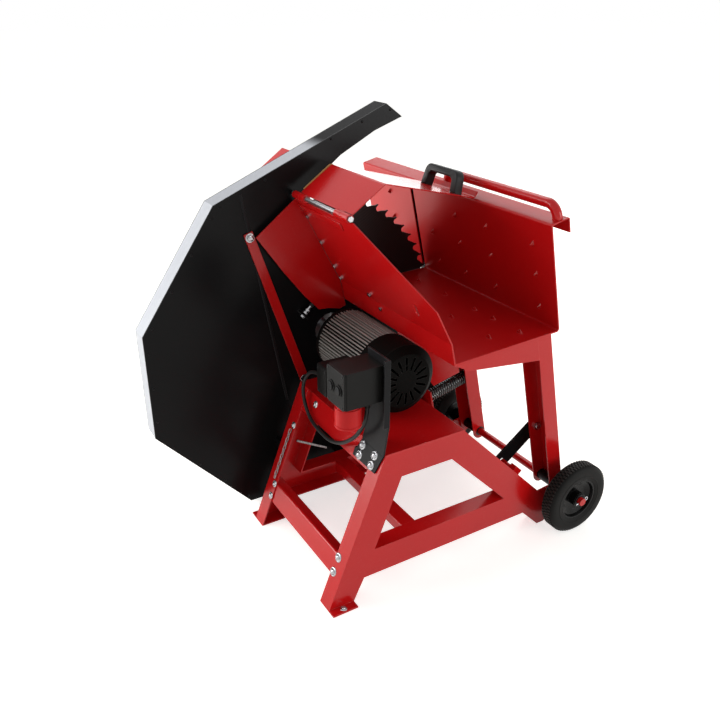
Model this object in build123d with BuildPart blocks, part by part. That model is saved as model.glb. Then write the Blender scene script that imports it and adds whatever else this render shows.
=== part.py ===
from build123d import *
import os
from math import cos, sin, radians, pi, hypot, atan2, degrees

# Tilting firewood saw. Millimetres, +Z up. The blade axis, the axle and the hinges all run along X.
# The origin is on the floor, under the middle of the whole machine.

# Main sizes
HALF_LENGTH = 411
HALF_DEPTH = 499
SHEET = 3

# Side frames: two mirrored channel frames, seen along X as (Y, Z) outlines
NEAR_FACE = 330
FAR_FACE = -70
FLANGE = 42
FRAME_TOP = 362
FOOT_OUT = 21
FOOT_THICK = 4
LEG_FOOT = -280
LEG_TOP = -137
LEG_WIDTH = 64
RAIL_LOW = 58
RAIL_TOP = 127
BEAM_LOW = 298
BEAM_END = 74
SLANT_OUT = 436
SLANT_IN = 340
SLANT_END = 4

# Axle and wheels
AXLE_Y = 404
AXLE_Z = 95
AXLE_R = 10
RUNNING_GAP = 0.05
WHEEL_R = 95
WHEEL_WIDTH = 42
RIM_R = 55
WHEEL_GAP = 27
FRAME_MID = (NEAR_FACE + FAR_FACE) / 2

# Motor and blade
MOTOR_Y = -15
MOTOR_Z = 462
FIN_R = 80
FIN_COUNT = 32
BLADE_R = 340
BLADE_X = -174.5
BLADE_THICK = 4
TOOTH_COUNT = 60
TOOTH_DEPTH = 16
SHAFT_R = 12

# Rocker: drawn upright over its axle as (y, z), then leaned over by its working tilt
TILT = 12.9
TROUGH_NEAR = 350
TROUGH_FAR = -HALF_LENGTH
BACK_Y = 11.5
FOLD_Z = 478
BACK_TOP = 735
TOP_FLANGE = 51
TOP_LIP = 35
FLOOR_LEFT = (-272, 529)
WALL_BEND = 578
HINGE = (-339, 829.5)
SLOT_WIDTH = 13
SLOT_TOP = 722
LEG_NEAR = 318.5
LEG_FAR = -59.5
CHANNEL = 63
CHANNEL_FRONT = -23
CHANNEL_BACK = 17

# Guard
GUARD_NEAR = -130
GUARD_FAR = -186
GUARD_SHEET = 2.5


def section(x):
    """A plane square to X, where a sketch is drawn in Y and Z."""
    return Plane(origin=(x, 0, 0), x_dir=(0, 1, 0), z_dir=(1, 0, 0))


def rocker_section(x):
    """A plane square to X, where a sketch is drawn in the rocker's own upright y and z."""
    tilt = radians(TILT)
    return Plane(origin=(x, AXLE_Y, AXLE_Z), x_dir=(0, cos(tilt), sin(tilt)), z_dir=(1, 0, 0))


def rocker_point(x, y, z):
    """A point of the upright rocker, in the machine's frame."""
    return rocker_section(x).from_local_coords(Vector(y, z, 0))


def rocker_front():
    """A plane through the axle, square to the rocker's y, where a sketch is drawn in X and z."""
    tilt = radians(TILT)
    return Plane(origin=(0, AXLE_Y, AXLE_Z), x_dir=(1, 0, 0), z_dir=(0, -cos(tilt), -sin(tilt)))


def motor_section(x):
    """A plane square to X, centred on the motor's axis."""
    return Plane(origin=(x, MOTOR_Y, MOTOR_Z), x_dir=(0, 1, 0), z_dir=(1, 0, 0))


def wheel_section(x):
    """A plane square to X, centred on the wheel axle."""
    return Plane(origin=(x, AXLE_Y, AXLE_Z), x_dir=(0, 1, 0), z_dir=(1, 0, 0))


def bent_sheet(plane, points, thickness, side, bend, length):
    """A bent sheet that lies to one side of its line and grows from the plane, for the part that is open."""
    with BuildSketch(plane) as profile:
        with BuildLine():
            FilletPolyline(*points, radius=bend)
            offset(amount=thickness, side=side)
        make_face()
    extrude(profile.sketch, amount=length)


def disc(plane, radius, length, bore=0):
    """A round disc or ring that grows from the plane, for the part that is open."""
    with BuildSketch(plane) as ring:
        Circle(radius)
        if bore:
            Circle(bore, mode=Mode.SUBTRACT)
    extrude(ring.sketch, amount=length)


def leg_y(z):
    """The outer fold of the left legs at a height."""
    return LEG_FOOT + (LEG_TOP - LEG_FOOT) * z / FRAME_TOP


def floor_under(y):
    """The underside of the trough's floor, in the upright rocker."""
    slope = (FLOOR_LEFT[1] - FOLD_Z) / (BACK_Y - FLOOR_LEFT[0])
    return FOLD_Z + (BACK_Y - y) * slope - SHEET * hypot(1, slope)


def save(piece, name):
    """Name a finished piece and write it."""
    piece.part.label = name
    export_step(piece.part, f"parts/{name}.step")


os.makedirs("parts", exist_ok=True)

# Side frames: a face with flanges turned in along every edge, a window over the rail, and a foot with a hole
leg_in = LEG_WIDTH * hypot(1, (LEG_TOP - LEG_FOOT) / FRAME_TOP)
FRAME_OUTLINE = [
    (LEG_FOOT, 0),
    (LEG_TOP, FRAME_TOP),
    (BEAM_END, FRAME_TOP),
    (SLANT_OUT - 41, 41),
    (SLANT_OUT - 41 - 37, SLANT_END),
    (SLANT_IN - SLANT_END, SLANT_END),
    (SLANT_IN - RAIL_LOW, RAIL_LOW),
    (leg_y(RAIL_LOW) + leg_in, RAIL_LOW),
    (leg_y(0) + LEG_WIDTH, 0),
]
WINDOW = [
    (leg_y(RAIL_TOP) + leg_in, RAIL_TOP),
    (leg_y(BEAM_LOW) + leg_in, BEAM_LOW),
    (SLANT_IN - BEAM_LOW, BEAM_LOW),
    (SLANT_IN - RAIL_TOP, RAIL_TOP),
]
FOOT_HOLE_Y = LEG_FOOT + LEG_WIDTH / 2
FOOT_HOLE_R = 5.5

for name, face, turn in (("side_frame_near", NEAR_FACE, 1), ("side_frame_far", FAR_FACE, -1)):
    inner = face - turn * FLANGE
    with BuildPart() as side_frame:
        with BuildSketch(section(inner)):
            Polygon(*FRAME_OUTLINE, align=None)
            Polygon(*WINDOW, align=None, mode=Mode.SUBTRACT)
        extrude(amount=turn * FLANGE)
        with BuildSketch(section(inner)):
            Polygon(*FRAME_OUTLINE, align=None)
            Polygon(*WINDOW, align=None, mode=Mode.SUBTRACT)
            offset(amount=-SHEET, kind=Kind.INTERSECTION, mode=Mode.REPLACE)
        extrude(amount=turn * (FLANGE - SHEET), mode=Mode.SUBTRACT)
        with BuildSketch(Plane.XY):
            with Locations((face + turn * FOOT_OUT / 2, FOOT_HOLE_Y)):
                Rectangle(FOOT_OUT, LEG_WIDTH)
                Circle(FOOT_HOLE_R, mode=Mode.SUBTRACT)
        extrude(amount=FOOT_THICK)
    save(side_frame, name)

# Deck: a plate over both frames, with its left edge bent down between the legs
DECK_DROP = 50
DECK_TOP = FRAME_TOP + SHEET
with BuildPart() as deck:
    with BuildSketch(Plane.XY.offset(FRAME_TOP)):
        with Locations(((NEAR_FACE + FAR_FACE) / 2, (LEG_TOP + BEAM_END) / 2)):
            Rectangle(NEAR_FACE - FAR_FACE, BEAM_END - LEG_TOP)
    extrude(amount=SHEET)
    with BuildSketch(section(FAR_FACE + FLANGE + SHEET)):
        Polygon(*[
            (LEG_TOP, FRAME_TOP),
            (LEG_TOP + SHEET, FRAME_TOP),
            (leg_y(FRAME_TOP - DECK_DROP) + SHEET, FRAME_TOP - DECK_DROP),
            (leg_y(FRAME_TOP - DECK_DROP), FRAME_TOP - DECK_DROP),
        ], align=None)
    extrude(amount=NEAR_FACE - FAR_FACE - 2 * (FLANGE + SHEET))
save(deck, "deck")

# Lower left cross rail: a channel that lies inside the legs, behind their leaning flanges
RAIL_LEVEL = 66
RAIL_WIDTH = 54
RAIL_DEPTH = 30
lean_angle = degrees(atan2(LEG_TOP - LEG_FOOT, FRAME_TOP))
leg_face = Plane(
    origin=(FAR_FACE + SHEET, leg_y(RAIL_LEVEL), RAIL_LEVEL),
    x_dir=(0, sin(radians(lean_angle)), cos(radians(lean_angle))),
    z_dir=(1, 0, 0),
)
with BuildPart() as left_cross_rail:
    bent_sheet(
        leg_face,
        [(0, -SHEET - RAIL_DEPTH), (0, -SHEET), (RAIL_WIDTH, -SHEET), (RAIL_WIDTH, -SHEET - RAIL_DEPTH)],
        SHEET, Side.RIGHT, 5, NEAR_FACE - FAR_FACE - 2 * SHEET,
    )
save(left_cross_rail, "left_cross_rail")

# Middle cross bar: a square tube between the two bottom rails
BAR_Y = -42
BAR_WIDTH = 40
BAR_HEIGHT = 30
with BuildPart() as middle_cross_bar:
    with BuildSketch(section(FAR_FACE + FLANGE)):
        with Locations((BAR_Y, RAIL_TOP - BAR_HEIGHT / 2)):
            RectangleRounded(BAR_WIDTH, BAR_HEIGHT, 4)
            RectangleRounded(BAR_WIDTH - 5, BAR_HEIGHT - 5, 2, mode=Mode.SUBTRACT)
    extrude(amount=NEAR_FACE - FAR_FACE - 2 * FLANGE)
save(middle_cross_bar, "middle_cross_bar")

# Axle brackets: a foot on the slanted leg and an ear that holds the axle
EAR_R = 21
EAR_THICK = 5
BRACKET_FOOT = 4
with BuildPart() as axle_brackets:
    for outer, turn in ((NEAR_FACE, 1), (FAR_FACE, -1)):
        with BuildSketch(section(outer - turn * (EAR_THICK + 2))):
            with BuildLine():
                Polyline((AXLE_Y - 74, SLANT_OUT - AXLE_Y + 74), (SLANT_OUT - 44, 44))
                Line((SLANT_OUT - 44, 44), (AXLE_Y + EAR_R * 0.8, AXLE_Z - EAR_R * 0.6))
                ThreePointArc(
                    (AXLE_Y + EAR_R * 0.8, AXLE_Z - EAR_R * 0.6),
                    (AXLE_Y + EAR_R * 0.6, AXLE_Z + EAR_R * 0.8),
                    (AXLE_Y - EAR_R * 0.6, AXLE_Z + EAR_R * 0.8),
                )
                Line((AXLE_Y - EAR_R * 0.6, AXLE_Z + EAR_R * 0.8), (AXLE_Y - 74, SLANT_OUT - AXLE_Y + 74))
            make_face()
            with Locations((AXLE_Y, AXLE_Z)):
                Circle(AXLE_R, mode=Mode.SUBTRACT)
        extrude(amount=turn * EAR_THICK)
save(axle_brackets, "axle_brackets")

# Axle: one rod through both wheels and both rocker legs
NEAR_END = HALF_LENGTH
FAR_END = 2 * FRAME_MID - NEAR_END
PIN_X = (NEAR_END - 5, FAR_END + 5)
pin_dir = Vector(0, cos(radians(14)), sin(radians(14)))
with BuildPart() as axle:
    disc(wheel_section(FAR_END), AXLE_R, NEAR_END - FAR_END)
    for x in PIN_X:
        with BuildSketch(Plane(origin=Vector(x, AXLE_Y, AXLE_Z) - pin_dir * (AXLE_R + 1), z_dir=pin_dir)):
            Circle(2)
        extrude(amount=2 * AXLE_R + 2, mode=Mode.SUBTRACT)
save(axle, "axle")

# Spacers between the brackets and the wheels, washers outside the wheels and a split pin through each end
wheel_in = NEAR_FACE + WHEEL_GAP
wheel_out = wheel_in + WHEEL_WIDTH
with BuildPart() as axle_hardware:
    disc(wheel_section(NEAR_FACE - 2), 15, WHEEL_GAP + 1.6, AXLE_R)
    disc(wheel_section(2 * FRAME_MID - NEAR_FACE + 2), 15, -(WHEEL_GAP + 1.6), AXLE_R)
    disc(wheel_section(wheel_out + 0.4), 16, 2, AXLE_R)
    disc(wheel_section(2 * FRAME_MID - wheel_out - 0.4), 16, -2, AXLE_R)
    for x in PIN_X:
        middle = Vector(x, AXLE_Y, AXLE_Z)
        with BuildSketch(Plane(origin=middle - pin_dir * 18, z_dir=pin_dir)):
            Circle(1.9)
        extrude(amount=30)
        with BuildSketch(Plane(origin=middle + pin_dir * 16, x_dir=pin_dir, z_dir=(1, 0, 0))):
            Circle(6)
            Circle(2.6, mode=Mode.SUBTRACT)
        extrude(amount=1.3, both=True)
save(axle_hardware, "axle_hardware")

# Wheels: a rubber tyre on a dished rim with a long hub
for name, inner, turn in (("near", wheel_in, 1), ("far", 2 * FRAME_MID - wheel_in, -1)):
    side = Plane(origin=(inner, AXLE_Y, AXLE_Z), x_dir=(turn, 0, 0), z_dir=(0, -turn, 0))
    axis = Axis((0, AXLE_Y, AXLE_Z), (1, 0, 0))
    with BuildPart() as tyre:
        with BuildSketch(side):
            with BuildLine():
                Polyline((4, RIM_R), (0, RIM_R + 10), (0, WHEEL_R - 12))
                ThreePointArc((0, WHEEL_R - 12), (3, WHEEL_R - 3), (11, WHEEL_R))
                Line((11, WHEEL_R), (WHEEL_WIDTH - 11, WHEEL_R))
                ThreePointArc(
                    (WHEEL_WIDTH - 11, WHEEL_R), (WHEEL_WIDTH - 3, WHEEL_R - 3), (WHEEL_WIDTH, WHEEL_R - 12)
                )
                Polyline(
                    (WHEEL_WIDTH, WHEEL_R - 12), (WHEEL_WIDTH, RIM_R + 10),
                    (WHEEL_WIDTH - 4, RIM_R), (4, RIM_R),
                )
            make_face()
        revolve(axis=axis)
    save(tyre, f"tyre_{name}")
    bore = AXLE_R + RUNNING_GAP
    with BuildPart() as rim:
        with BuildSketch(side):
            Polygon(*[
                (0, bore), (0, 19), (18, 19), (20, 34), (26, RIM_R - 6), (4, RIM_R - 4), (4, RIM_R),
                (WHEEL_WIDTH - 4, RIM_R), (WHEEL_WIDTH - 4, RIM_R - 4), (30, RIM_R - 7), (24, 34), (23, 19),
                (WHEEL_WIDTH, 19), (WHEEL_WIDTH, bore),
            ], align=None)
        revolve(axis=axis)
    save(rim, f"rim_{name}")

# Motor: a finned tube with an end shield at each end, a stator, bearings, feet and a terminal box
HOUSING = (-45, 130)
STATOR_R = 54
BORE_R = 34
motor_axis = Axis((0, MOTOR_Y, MOTOR_Z), (1, 0, 0))
with BuildPart() as motor_housing:
    disc(motor_section(HOUSING[0]), 62, HOUSING[1] - HOUSING[0], STATOR_R)
    with BuildSketch(motor_section(HOUSING[0])):
        with PolarLocations(70, FIN_COUNT):
            Rectangle(2 * (FIN_R - 70), 3.4)
    extrude(amount=HOUSING[1] - HOUSING[0])
save(motor_housing, "motor_housing")

with BuildPart() as stator:
    disc(motor_section(HOUSING[0] + 35), STATOR_R, 105, BORE_R)
save(stator, "stator")

BEARING_R = 26
with BuildPart() as drive_end_shield:
    with BuildSketch(Plane(origin=(HOUSING[0], MOTOR_Y, MOTOR_Z), x_dir=(-1, 0, 0), z_dir=(0, 1, 0))):
        Polygon(
            (0, STATOR_R + 0.01), (0, FIN_R), (12, FIN_R), (26, 44), (38, 36), (38, 17), (30, 17),
            (30, BEARING_R), (12, BEARING_R), (12, STATOR_R), align=None,
        )
    revolve(axis=motor_axis)
save(drive_end_shield, "drive_end_shield")

with BuildPart() as rear_end_shield:
    with BuildSketch(Plane(origin=(HOUSING[1], MOTOR_Y, MOTOR_Z), x_dir=(1, 0, 0), z_dir=(0, -1, 0))):
        Polygon(
            (0, BEARING_R), (0, 76), (9, 76), (17, 34), (24, 34), (24, 17), (18, 17), (18, BEARING_R),
            align=None,
        )
    revolve(axis=motor_axis)
save(rear_end_shield, "rear_end_shield")

with BuildPart() as motor_bearings:
    for x in (HOUSING[0] - 30, HOUSING[1] + 1):
        disc(motor_section(x), BEARING_R, 16, SHAFT_R + RUNNING_GAP)
save(motor_bearings, "motor_bearings")

# Fan cover: a domed sheet cap with rows of vents in its end
COVER = (134, 224)
COVER_R = 83
with BuildPart() as fan_cover:
    with BuildSketch(Plane(origin=(COVER[0], MOTOR_Y, MOTOR_Z), x_dir=(1, 0, 0), z_dir=(0, -1, 0))):
        length = COVER[1] - COVER[0]
        Polygon(
            (0, COVER_R - 2), (0, COVER_R), (length - 16, COVER_R), (length - 3, COVER_R - 18),
            (length, 22), (length, 0), (length - 2, 0), (length - 2, 21), (length - 5, COVER_R - 19),
            (length - 17, COVER_R - 2), align=None,
        )
    revolve(axis=motor_axis)
    with BuildSketch(motor_section(COVER[1] - 8)):
        with PolarLocations(43, 16):
            SlotOverall(32, 6)
    extrude(amount=12, mode=Mode.SUBTRACT)
save(fan_cover, "fan_cover")

with BuildPart() as motor_feet:
    with BuildSketch(section(-20)):
        with Locations((MOTOR_Y, (DECK_TOP + 410) / 2)):
            Rectangle(120, 410 - DECK_TOP)
        with Locations((MOTOR_Y, MOTOR_Z)):
            Circle(FIN_R + 0.03, mode=Mode.SUBTRACT)
    extrude(amount=110)
save(motor_feet, "motor_feet")

TERMINAL = (84.5, 131)
TERMINAL_Y = -168
TERMINAL_Z = (418, 490)
with BuildPart() as terminal_box:
    with BuildSketch(section(TERMINAL[0])):
        with Locations(((TERMINAL_Y + MOTOR_Y) / 2, sum(TERMINAL_Z) / 2)):
            RectangleRounded(MOTOR_Y - TERMINAL_Y, TERMINAL_Z[1] - TERMINAL_Z[0], 5)
        with Locations((MOTOR_Y, MOTOR_Z)):
            Circle(FIN_R + 0.03, mode=Mode.SUBTRACT)
    extrude(amount=TERMINAL[1] - TERMINAL[0])
save(terminal_box, "terminal_box")

# Rotor: shaft, iron core, cooling fan, blade, its two flanges and the nut
SHAFT_END = -197
with BuildPart() as motor_shaft:
    disc(motor_section(SHAFT_END), SHAFT_R, 205 - SHAFT_END)
save(motor_shaft, "motor_shaft")

with BuildPart() as rotor_core:
    disc(motor_section(HOUSING[0] + 35), BORE_R - 0.6, 105, SHAFT_R)
save(rotor_core, "rotor_core")

with BuildPart() as cooling_fan:
    disc(motor_section(170), 20, 24, SHAFT_R)
    disc(motor_section(170), 68, 3, SHAFT_R)
    with BuildSketch(motor_section(173)):
        with PolarLocations(43, 7):
            Rectangle(48, 3)
    extrude(amount=21)
save(cooling_fan, "cooling_fan")

FLANGE_R = 50
FLANGE_THICK = 8
with BuildPart() as blade_clamp:
    disc(motor_section(BLADE_X + BLADE_THICK / 2), FLANGE_R, FLANGE_THICK, SHAFT_R)
    disc(motor_section(BLADE_X - BLADE_THICK / 2), FLANGE_R, -FLANGE_THICK, SHAFT_R)
    with BuildSketch(motor_section(BLADE_X - BLADE_THICK / 2 - FLANGE_THICK)):
        RegularPolygon(21, 6)
        Circle(SHAFT_R, mode=Mode.SUBTRACT)
    extrude(amount=-11)
save(blade_clamp, "blade_clamp")

# Blade: a disc with hooked ripping teeth, a deep round gullet under each tip and a long sloping back
tooth_step = 360 / TOOTH_COUNT
gullet_r = BLADE_R - TOOTH_DEPTH


def polar(radius, angle):
    """A point of the blade at a radius and an angle."""
    return (radius * cos(radians(angle)), radius * sin(radians(angle)))


with BuildPart() as saw_blade:
    disc(motor_section(BLADE_X - BLADE_THICK / 2), BLADE_R, BLADE_THICK, SHAFT_R)
    with BuildSketch(motor_section(BLADE_X - BLADE_THICK / 2)):
        with BuildLine():
            Polyline(
                polar(gullet_r + 3, -tooth_step * 0.34), polar(BLADE_R - 3, -tooth_step * 0.86),
                polar(BLADE_R + 6, -tooth_step * 0.99), polar(BLADE_R + 6, -tooth_step * 0.01),
                polar(BLADE_R, 0), polar(gullet_r + 7, tooth_step * 0.07),
            )
            ThreePointArc(
                polar(gullet_r + 7, tooth_step * 0.07), polar(gullet_r, -tooth_step * 0.12),
                polar(gullet_r + 3, -tooth_step * 0.34),
            )
        gullet = make_face()
        with PolarLocations(0, TOOTH_COUNT - 1, start_angle=tooth_step, angular_range=360 - tooth_step):
            add(gullet)
    extrude(amount=BLADE_THICK, mode=Mode.SUBTRACT)
save(saw_blade, "saw_blade")

# Switch: a bent bracket on top of the near left leg, a box with a lid, glands and the motor's cable
BOX_X = (261, 329)
BOX_Y = (-237, -138)
BOX_Z = (498, 579)
BRACKET_THICK = 4
BRACKET_LOW = 319
BRACKET_X = (227, 345)
BRACKET_TOP = BOX_Z[1] + 16
LIP_LOW = 442
with BuildPart() as switch_bracket:
    bent_sheet(
        section(BRACKET_X[0]),
        [(leg_y(BRACKET_LOW), BRACKET_LOW), (LEG_TOP, FRAME_TOP), (BOX_Y[1], FRAME_TOP + 60),
         (BOX_Y[1], BRACKET_TOP)],
        BRACKET_THICK, Side.LEFT, 12, BRACKET_X[1] - BRACKET_X[0],
    )
    with BuildSketch(Plane(origin=(0, 0, 0), x_dir=(1, 0, 0), z_dir=(0, -1, 0))):
        Polygon(
            (317, BRACKET_LOW - 20), (317, BRACKET_LOW), (BRACKET_X[1], LIP_LOW), (360, LIP_LOW),
            (360, BRACKET_LOW - 20), align=None,
        )
        Polygon(
            (220, 338), (232, 338), (264, 432), (264, BRACKET_TOP + 9), (220, BRACKET_TOP + 9),
            align=None,
        )
    extrude(amount=220, mode=Mode.SUBTRACT)
    with BuildSketch(section(BRACKET_X[1] - BRACKET_THICK)):
        with Locations((BOX_Y[1] - 7, (LIP_LOW + BRACKET_TOP) / 2)):
            Rectangle(14, BRACKET_TOP - LIP_LOW)
    extrude(amount=BRACKET_THICK)
save(switch_bracket, "switch_bracket")

BUTTON_R = 9
BUTTON_X = (280, 310)
BUTTON_Z = (BOX_Z[0] + BOX_Z[1]) / 2
LID = 4
bracket_face = BOX_Y[1] - BRACKET_THICK
lid_seat = Plane(origin=(sum(BOX_X) / 2, BOX_Y[0] + LID, BUTTON_Z), x_dir=(1, 0, 0), z_dir=(0, -1, 0))
with BuildPart() as switch_box:
    with BuildSketch(Plane.XY.offset(BOX_Z[0])):
        with Locations((sum(BOX_X) / 2, (BOX_Y[0] + LID + bracket_face) / 2)):
            RectangleRounded(BOX_X[1] - BOX_X[0], bracket_face - BOX_Y[0] - LID, 5)
    extrude(amount=BOX_Z[1] - BOX_Z[0])
    with BuildSketch(lid_seat):
        Rectangle(BOX_X[1] - BOX_X[0] - 12, BOX_Z[1] - BOX_Z[0] - 12)
    extrude(amount=-60, mode=Mode.SUBTRACT)
save(switch_box, "switch_box")

with BuildPart() as switch_lid:
    with BuildSketch(lid_seat):
        RectangleRounded(BOX_X[1] - BOX_X[0], BOX_Z[1] - BOX_Z[0], 6)
        with Locations(*((x - sum(BOX_X) / 2, 0) for x in BUTTON_X)):
            Circle(BUTTON_R + 0.5, mode=Mode.SUBTRACT)
    extrude(amount=LID)
save(switch_lid, "switch_lid")

for name, x in zip(("stop_button", "start_button"), BUTTON_X):
    with BuildPart() as button:
        with BuildSketch(Plane(origin=(x, BOX_Y[0] + LID + 8, BUTTON_Z), x_dir=(1, 0, 0), z_dir=(0, -1, 0))):
            Circle(BUTTON_R)
        extrude(amount=LID + 8 + 5)
        fillet(button.edges().filter_by(GeomType.CIRCLE).sort_by(Axis.Y)[0], 1.5)
    save(button, name)

CABLE_R = 4.5
GLAND = 22
cable_in = Vector(300, -165, BOX_Z[0])
cable_out = Vector(TERMINAL[0], -150, 446.5)
with BuildPart() as cable_glands:
    for point, out in ((cable_in, Vector(0, 0, -1)), (cable_out, Vector(-1, 0, 0))):
        with BuildSketch(Plane(origin=point, z_dir=out)):
            RegularPolygon(11, 6)
        extrude(amount=9)
        with BuildSketch(Plane(origin=point + out * 9, z_dir=out)):
            Circle(9)
        extrude(amount=GLAND - 9, taper=14)
save(cable_glands, "cable_glands")

# Power inlet: a round plug socket under the switch box, with five pins in its cup
INLET = (290, -205)
INLET_R = 28
INLET_LOW = 441
with BuildPart() as power_inlet:
    inlet_top = Plane(origin=(*INLET, BOX_Z[0]), z_dir=(0, 0, -1))
    disc(inlet_top, INLET_R - 3, 12)
    disc(inlet_top.offset(12), INLET_R, BOX_Z[0] - INLET_LOW - 12, INLET_R - 3)
    disc(inlet_top.offset(12), INLET_R - 1, 3)
    with BuildSketch(inlet_top.offset(15)):
        with PolarLocations(15, 5):
            Circle(3)
    extrude(amount=26)
save(power_inlet, "power_inlet")

# The cable leaves the box downwards, hangs in a wide loop beside the deck and rises to the terminal box
CABLE_ROUTE = [
    (300, -165, 475.5),
    (298, -166, 446),
    (284, -167, 420),
    (256, -168, 381),
    (200, -169, 336),
    (141, -169, 312),
    (82, -168, 312),
    (34, -164, 318),
    (4, -160, 336),
    (-13, -158, 364),
    (-12, -156, 394),
    (6, -153, 424),
    (30, -151, 441),
    (62, -150, 446.5),
]


def route_radii(points):
    """The largest arc that each corner of a route has room for."""
    radii = []
    for before, here, after in zip(points, points[1:], points[2:]):
        first = Vector(*here) - Vector(*before)
        second = Vector(*after) - Vector(*here)
        turn = radians(first.get_angle(second))
        radii.append(0.45 * min(first.length, second.length) / ((1 - cos(turn)) / sin(turn)))
    return radii


cable_radii = route_radii(CABLE_ROUTE)
print("cable radii", [round(r) for r in cable_radii])
with BuildPart() as motor_cable:
    with BuildLine() as cable_path:
        FilletPolyline(*CABLE_ROUTE, radius=cable_radii)
    with BuildSketch(Plane(origin=CABLE_ROUTE[0], z_dir=cable_path.wire() % 0)):
        Circle(CABLE_R)
    sweep(path=cable_path.wire())
print("cable length", round(cable_path.wire().length), "volume over section",
      round(motor_cable.part.volume / (pi * CABLE_R**2)))
save(motor_cable, "motor_cable")

# Guard: two plates with an arm over the blade, joined by a rim along their outer edge.
# The near plate has a lug for the stop bolt, and the far one a cup over the blade's nut.
GUARD_PATH = [
    (192, 978), (147, 1011), (-307, 821), (-HALF_DEPTH, 544), (-HALF_DEPTH, 278), (-266, 12), (200, 12),
    (345, 200), (345, 528),
]
GUARD_MOUTH = [(60, 528), (-22, 540), (-62, 600), (-78, 720), (-60, 842), (20, 902), (115, 951)]
SHAFT_HOLE_R = 44
CUP_R = 56
CUP_DEPTH = 18
STOP_X = -115
STOP_LENGTH = 37.8
stop_dir = Vector(0, cos(radians(42)), sin(radians(42)))
stop_root = Vector(STOP_X, -101, 522)


def stop_plane(along):
    """A plane square to the stop bolt, at a distance from its root."""
    return Plane(origin=stop_root + stop_dir * along, x_dir=(1, 0, 0), z_dir=stop_dir)


with BuildPart() as guard_near_plate:
    with BuildSketch(section(GUARD_NEAR - GUARD_SHEET)):
        Polygon(*GUARD_PATH + GUARD_MOUTH, align=None)
        with Locations((MOTOR_Y, MOTOR_Z)):
            Circle(SHAFT_HOLE_R, mode=Mode.SUBTRACT)
    extrude(amount=GUARD_SHEET)
    with BuildSketch(stop_plane(0)):
        Rectangle(2 * (STOP_X - GUARD_NEAR), 20)
    extrude(amount=6)
save(guard_near_plate, "guard_near_plate")

with BuildPart() as guard_far_plate:
    with BuildSketch(section(GUARD_FAR)):
        Polygon(*GUARD_PATH + GUARD_MOUTH, align=None)
        with Locations((MOTOR_Y, MOTOR_Z)):
            Circle(CUP_R, mode=Mode.SUBTRACT)
    extrude(amount=GUARD_SHEET)
    cup = motor_section(GUARD_FAR + GUARD_SHEET)
    disc(cup, CUP_R + GUARD_SHEET, -CUP_DEPTH, CUP_R)
    disc(cup.offset(-CUP_DEPTH), CUP_R + GUARD_SHEET, GUARD_SHEET)
save(guard_far_plate, "guard_far_plate")

with BuildPart() as guard_rim:
    with BuildSketch(section(GUARD_FAR + GUARD_SHEET)):
        with BuildLine():
            Polyline(*GUARD_PATH)
            offset(amount=GUARD_SHEET, side=Side.LEFT, kind=Kind.INTERSECTION)
        make_face()
    extrude(amount=GUARD_NEAR - GUARD_FAR - 2 * GUARD_SHEET)
save(guard_rim, "guard_rim")

# Spacers that carry the guard on the far side frame, and the brace bar that steadies its top
BRACE = ((-229, 748), (-97, 341))
BRACE_WIDTH = 23
BRACE_THICK = 5
with BuildPart() as guard_spacers:
    for y, z in ((-178, 175), (0, 92), (170, 218)):
        with BuildSketch(section(GUARD_NEAR)):
            with Locations((y, z)):
                Circle(11)
        extrude(amount=FAR_FACE - GUARD_NEAR)
    with BuildSketch(section(GUARD_NEAR + BRACE_THICK)):
        with Locations(BRACE[1]):
            Circle(9)
    extrude(amount=FAR_FACE - GUARD_NEAR - BRACE_THICK)
save(guard_spacers, "guard_spacers")

with BuildPart() as guard_brace:
    with BuildSketch(section(GUARD_NEAR)):
        with BuildLine():
            Line(*BRACE)
        trace(line_width=BRACE_WIDTH)
        with Locations(BRACE[1]):
            Circle(BRACE_WIDTH / 2)
    extrude(amount=BRACE_THICK)
save(guard_brace, "guard_brace")

# Stop bolt: a long bolt in the guard's lug, with two nuts and a rubber pad that meets the rocker's shield
with BuildPart() as stop_bolt:
    with BuildSketch(stop_plane(6)):
        Circle(3.5)
    extrude(amount=STOP_LENGTH - 14)
    for along, thick in ((6, 5), (15, 5), (0, -5)):
        with BuildSketch(stop_plane(along)):
            RegularPolygon(7, 6)
        extrude(amount=thick)
save(stop_bolt, "stop_bolt")

with BuildPart() as stop_pad:
    with BuildSketch(stop_plane(STOP_LENGTH - 8)):
        Circle(6)
    extrude(amount=8)
save(stop_pad, "stop_pad")

# Rocker trough: one bent sheet of floor, back plate, top flange and lip, with a slot for the blade
with BuildPart() as trough:
    bent_sheet(
        rocker_section(TROUGH_FAR),
        [FLOOR_LEFT, (BACK_Y, FOLD_Z), (BACK_Y, BACK_TOP), (BACK_Y + TOP_FLANGE, BACK_TOP),
         (BACK_Y + TOP_FLANGE, BACK_TOP - TOP_LIP)],
        SHEET, Side.RIGHT, 5, TROUGH_NEAR - TROUGH_FAR,
    )
    with BuildSketch(rocker_front()):
        with Locations((BLADE_X, (SLOT_TOP + 440) / 2)):
            Rectangle(SLOT_WIDTH, SLOT_TOP - 440)
    extrude(amount=320, both=True, mode=Mode.SUBTRACT)
save(trough, "trough")

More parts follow.
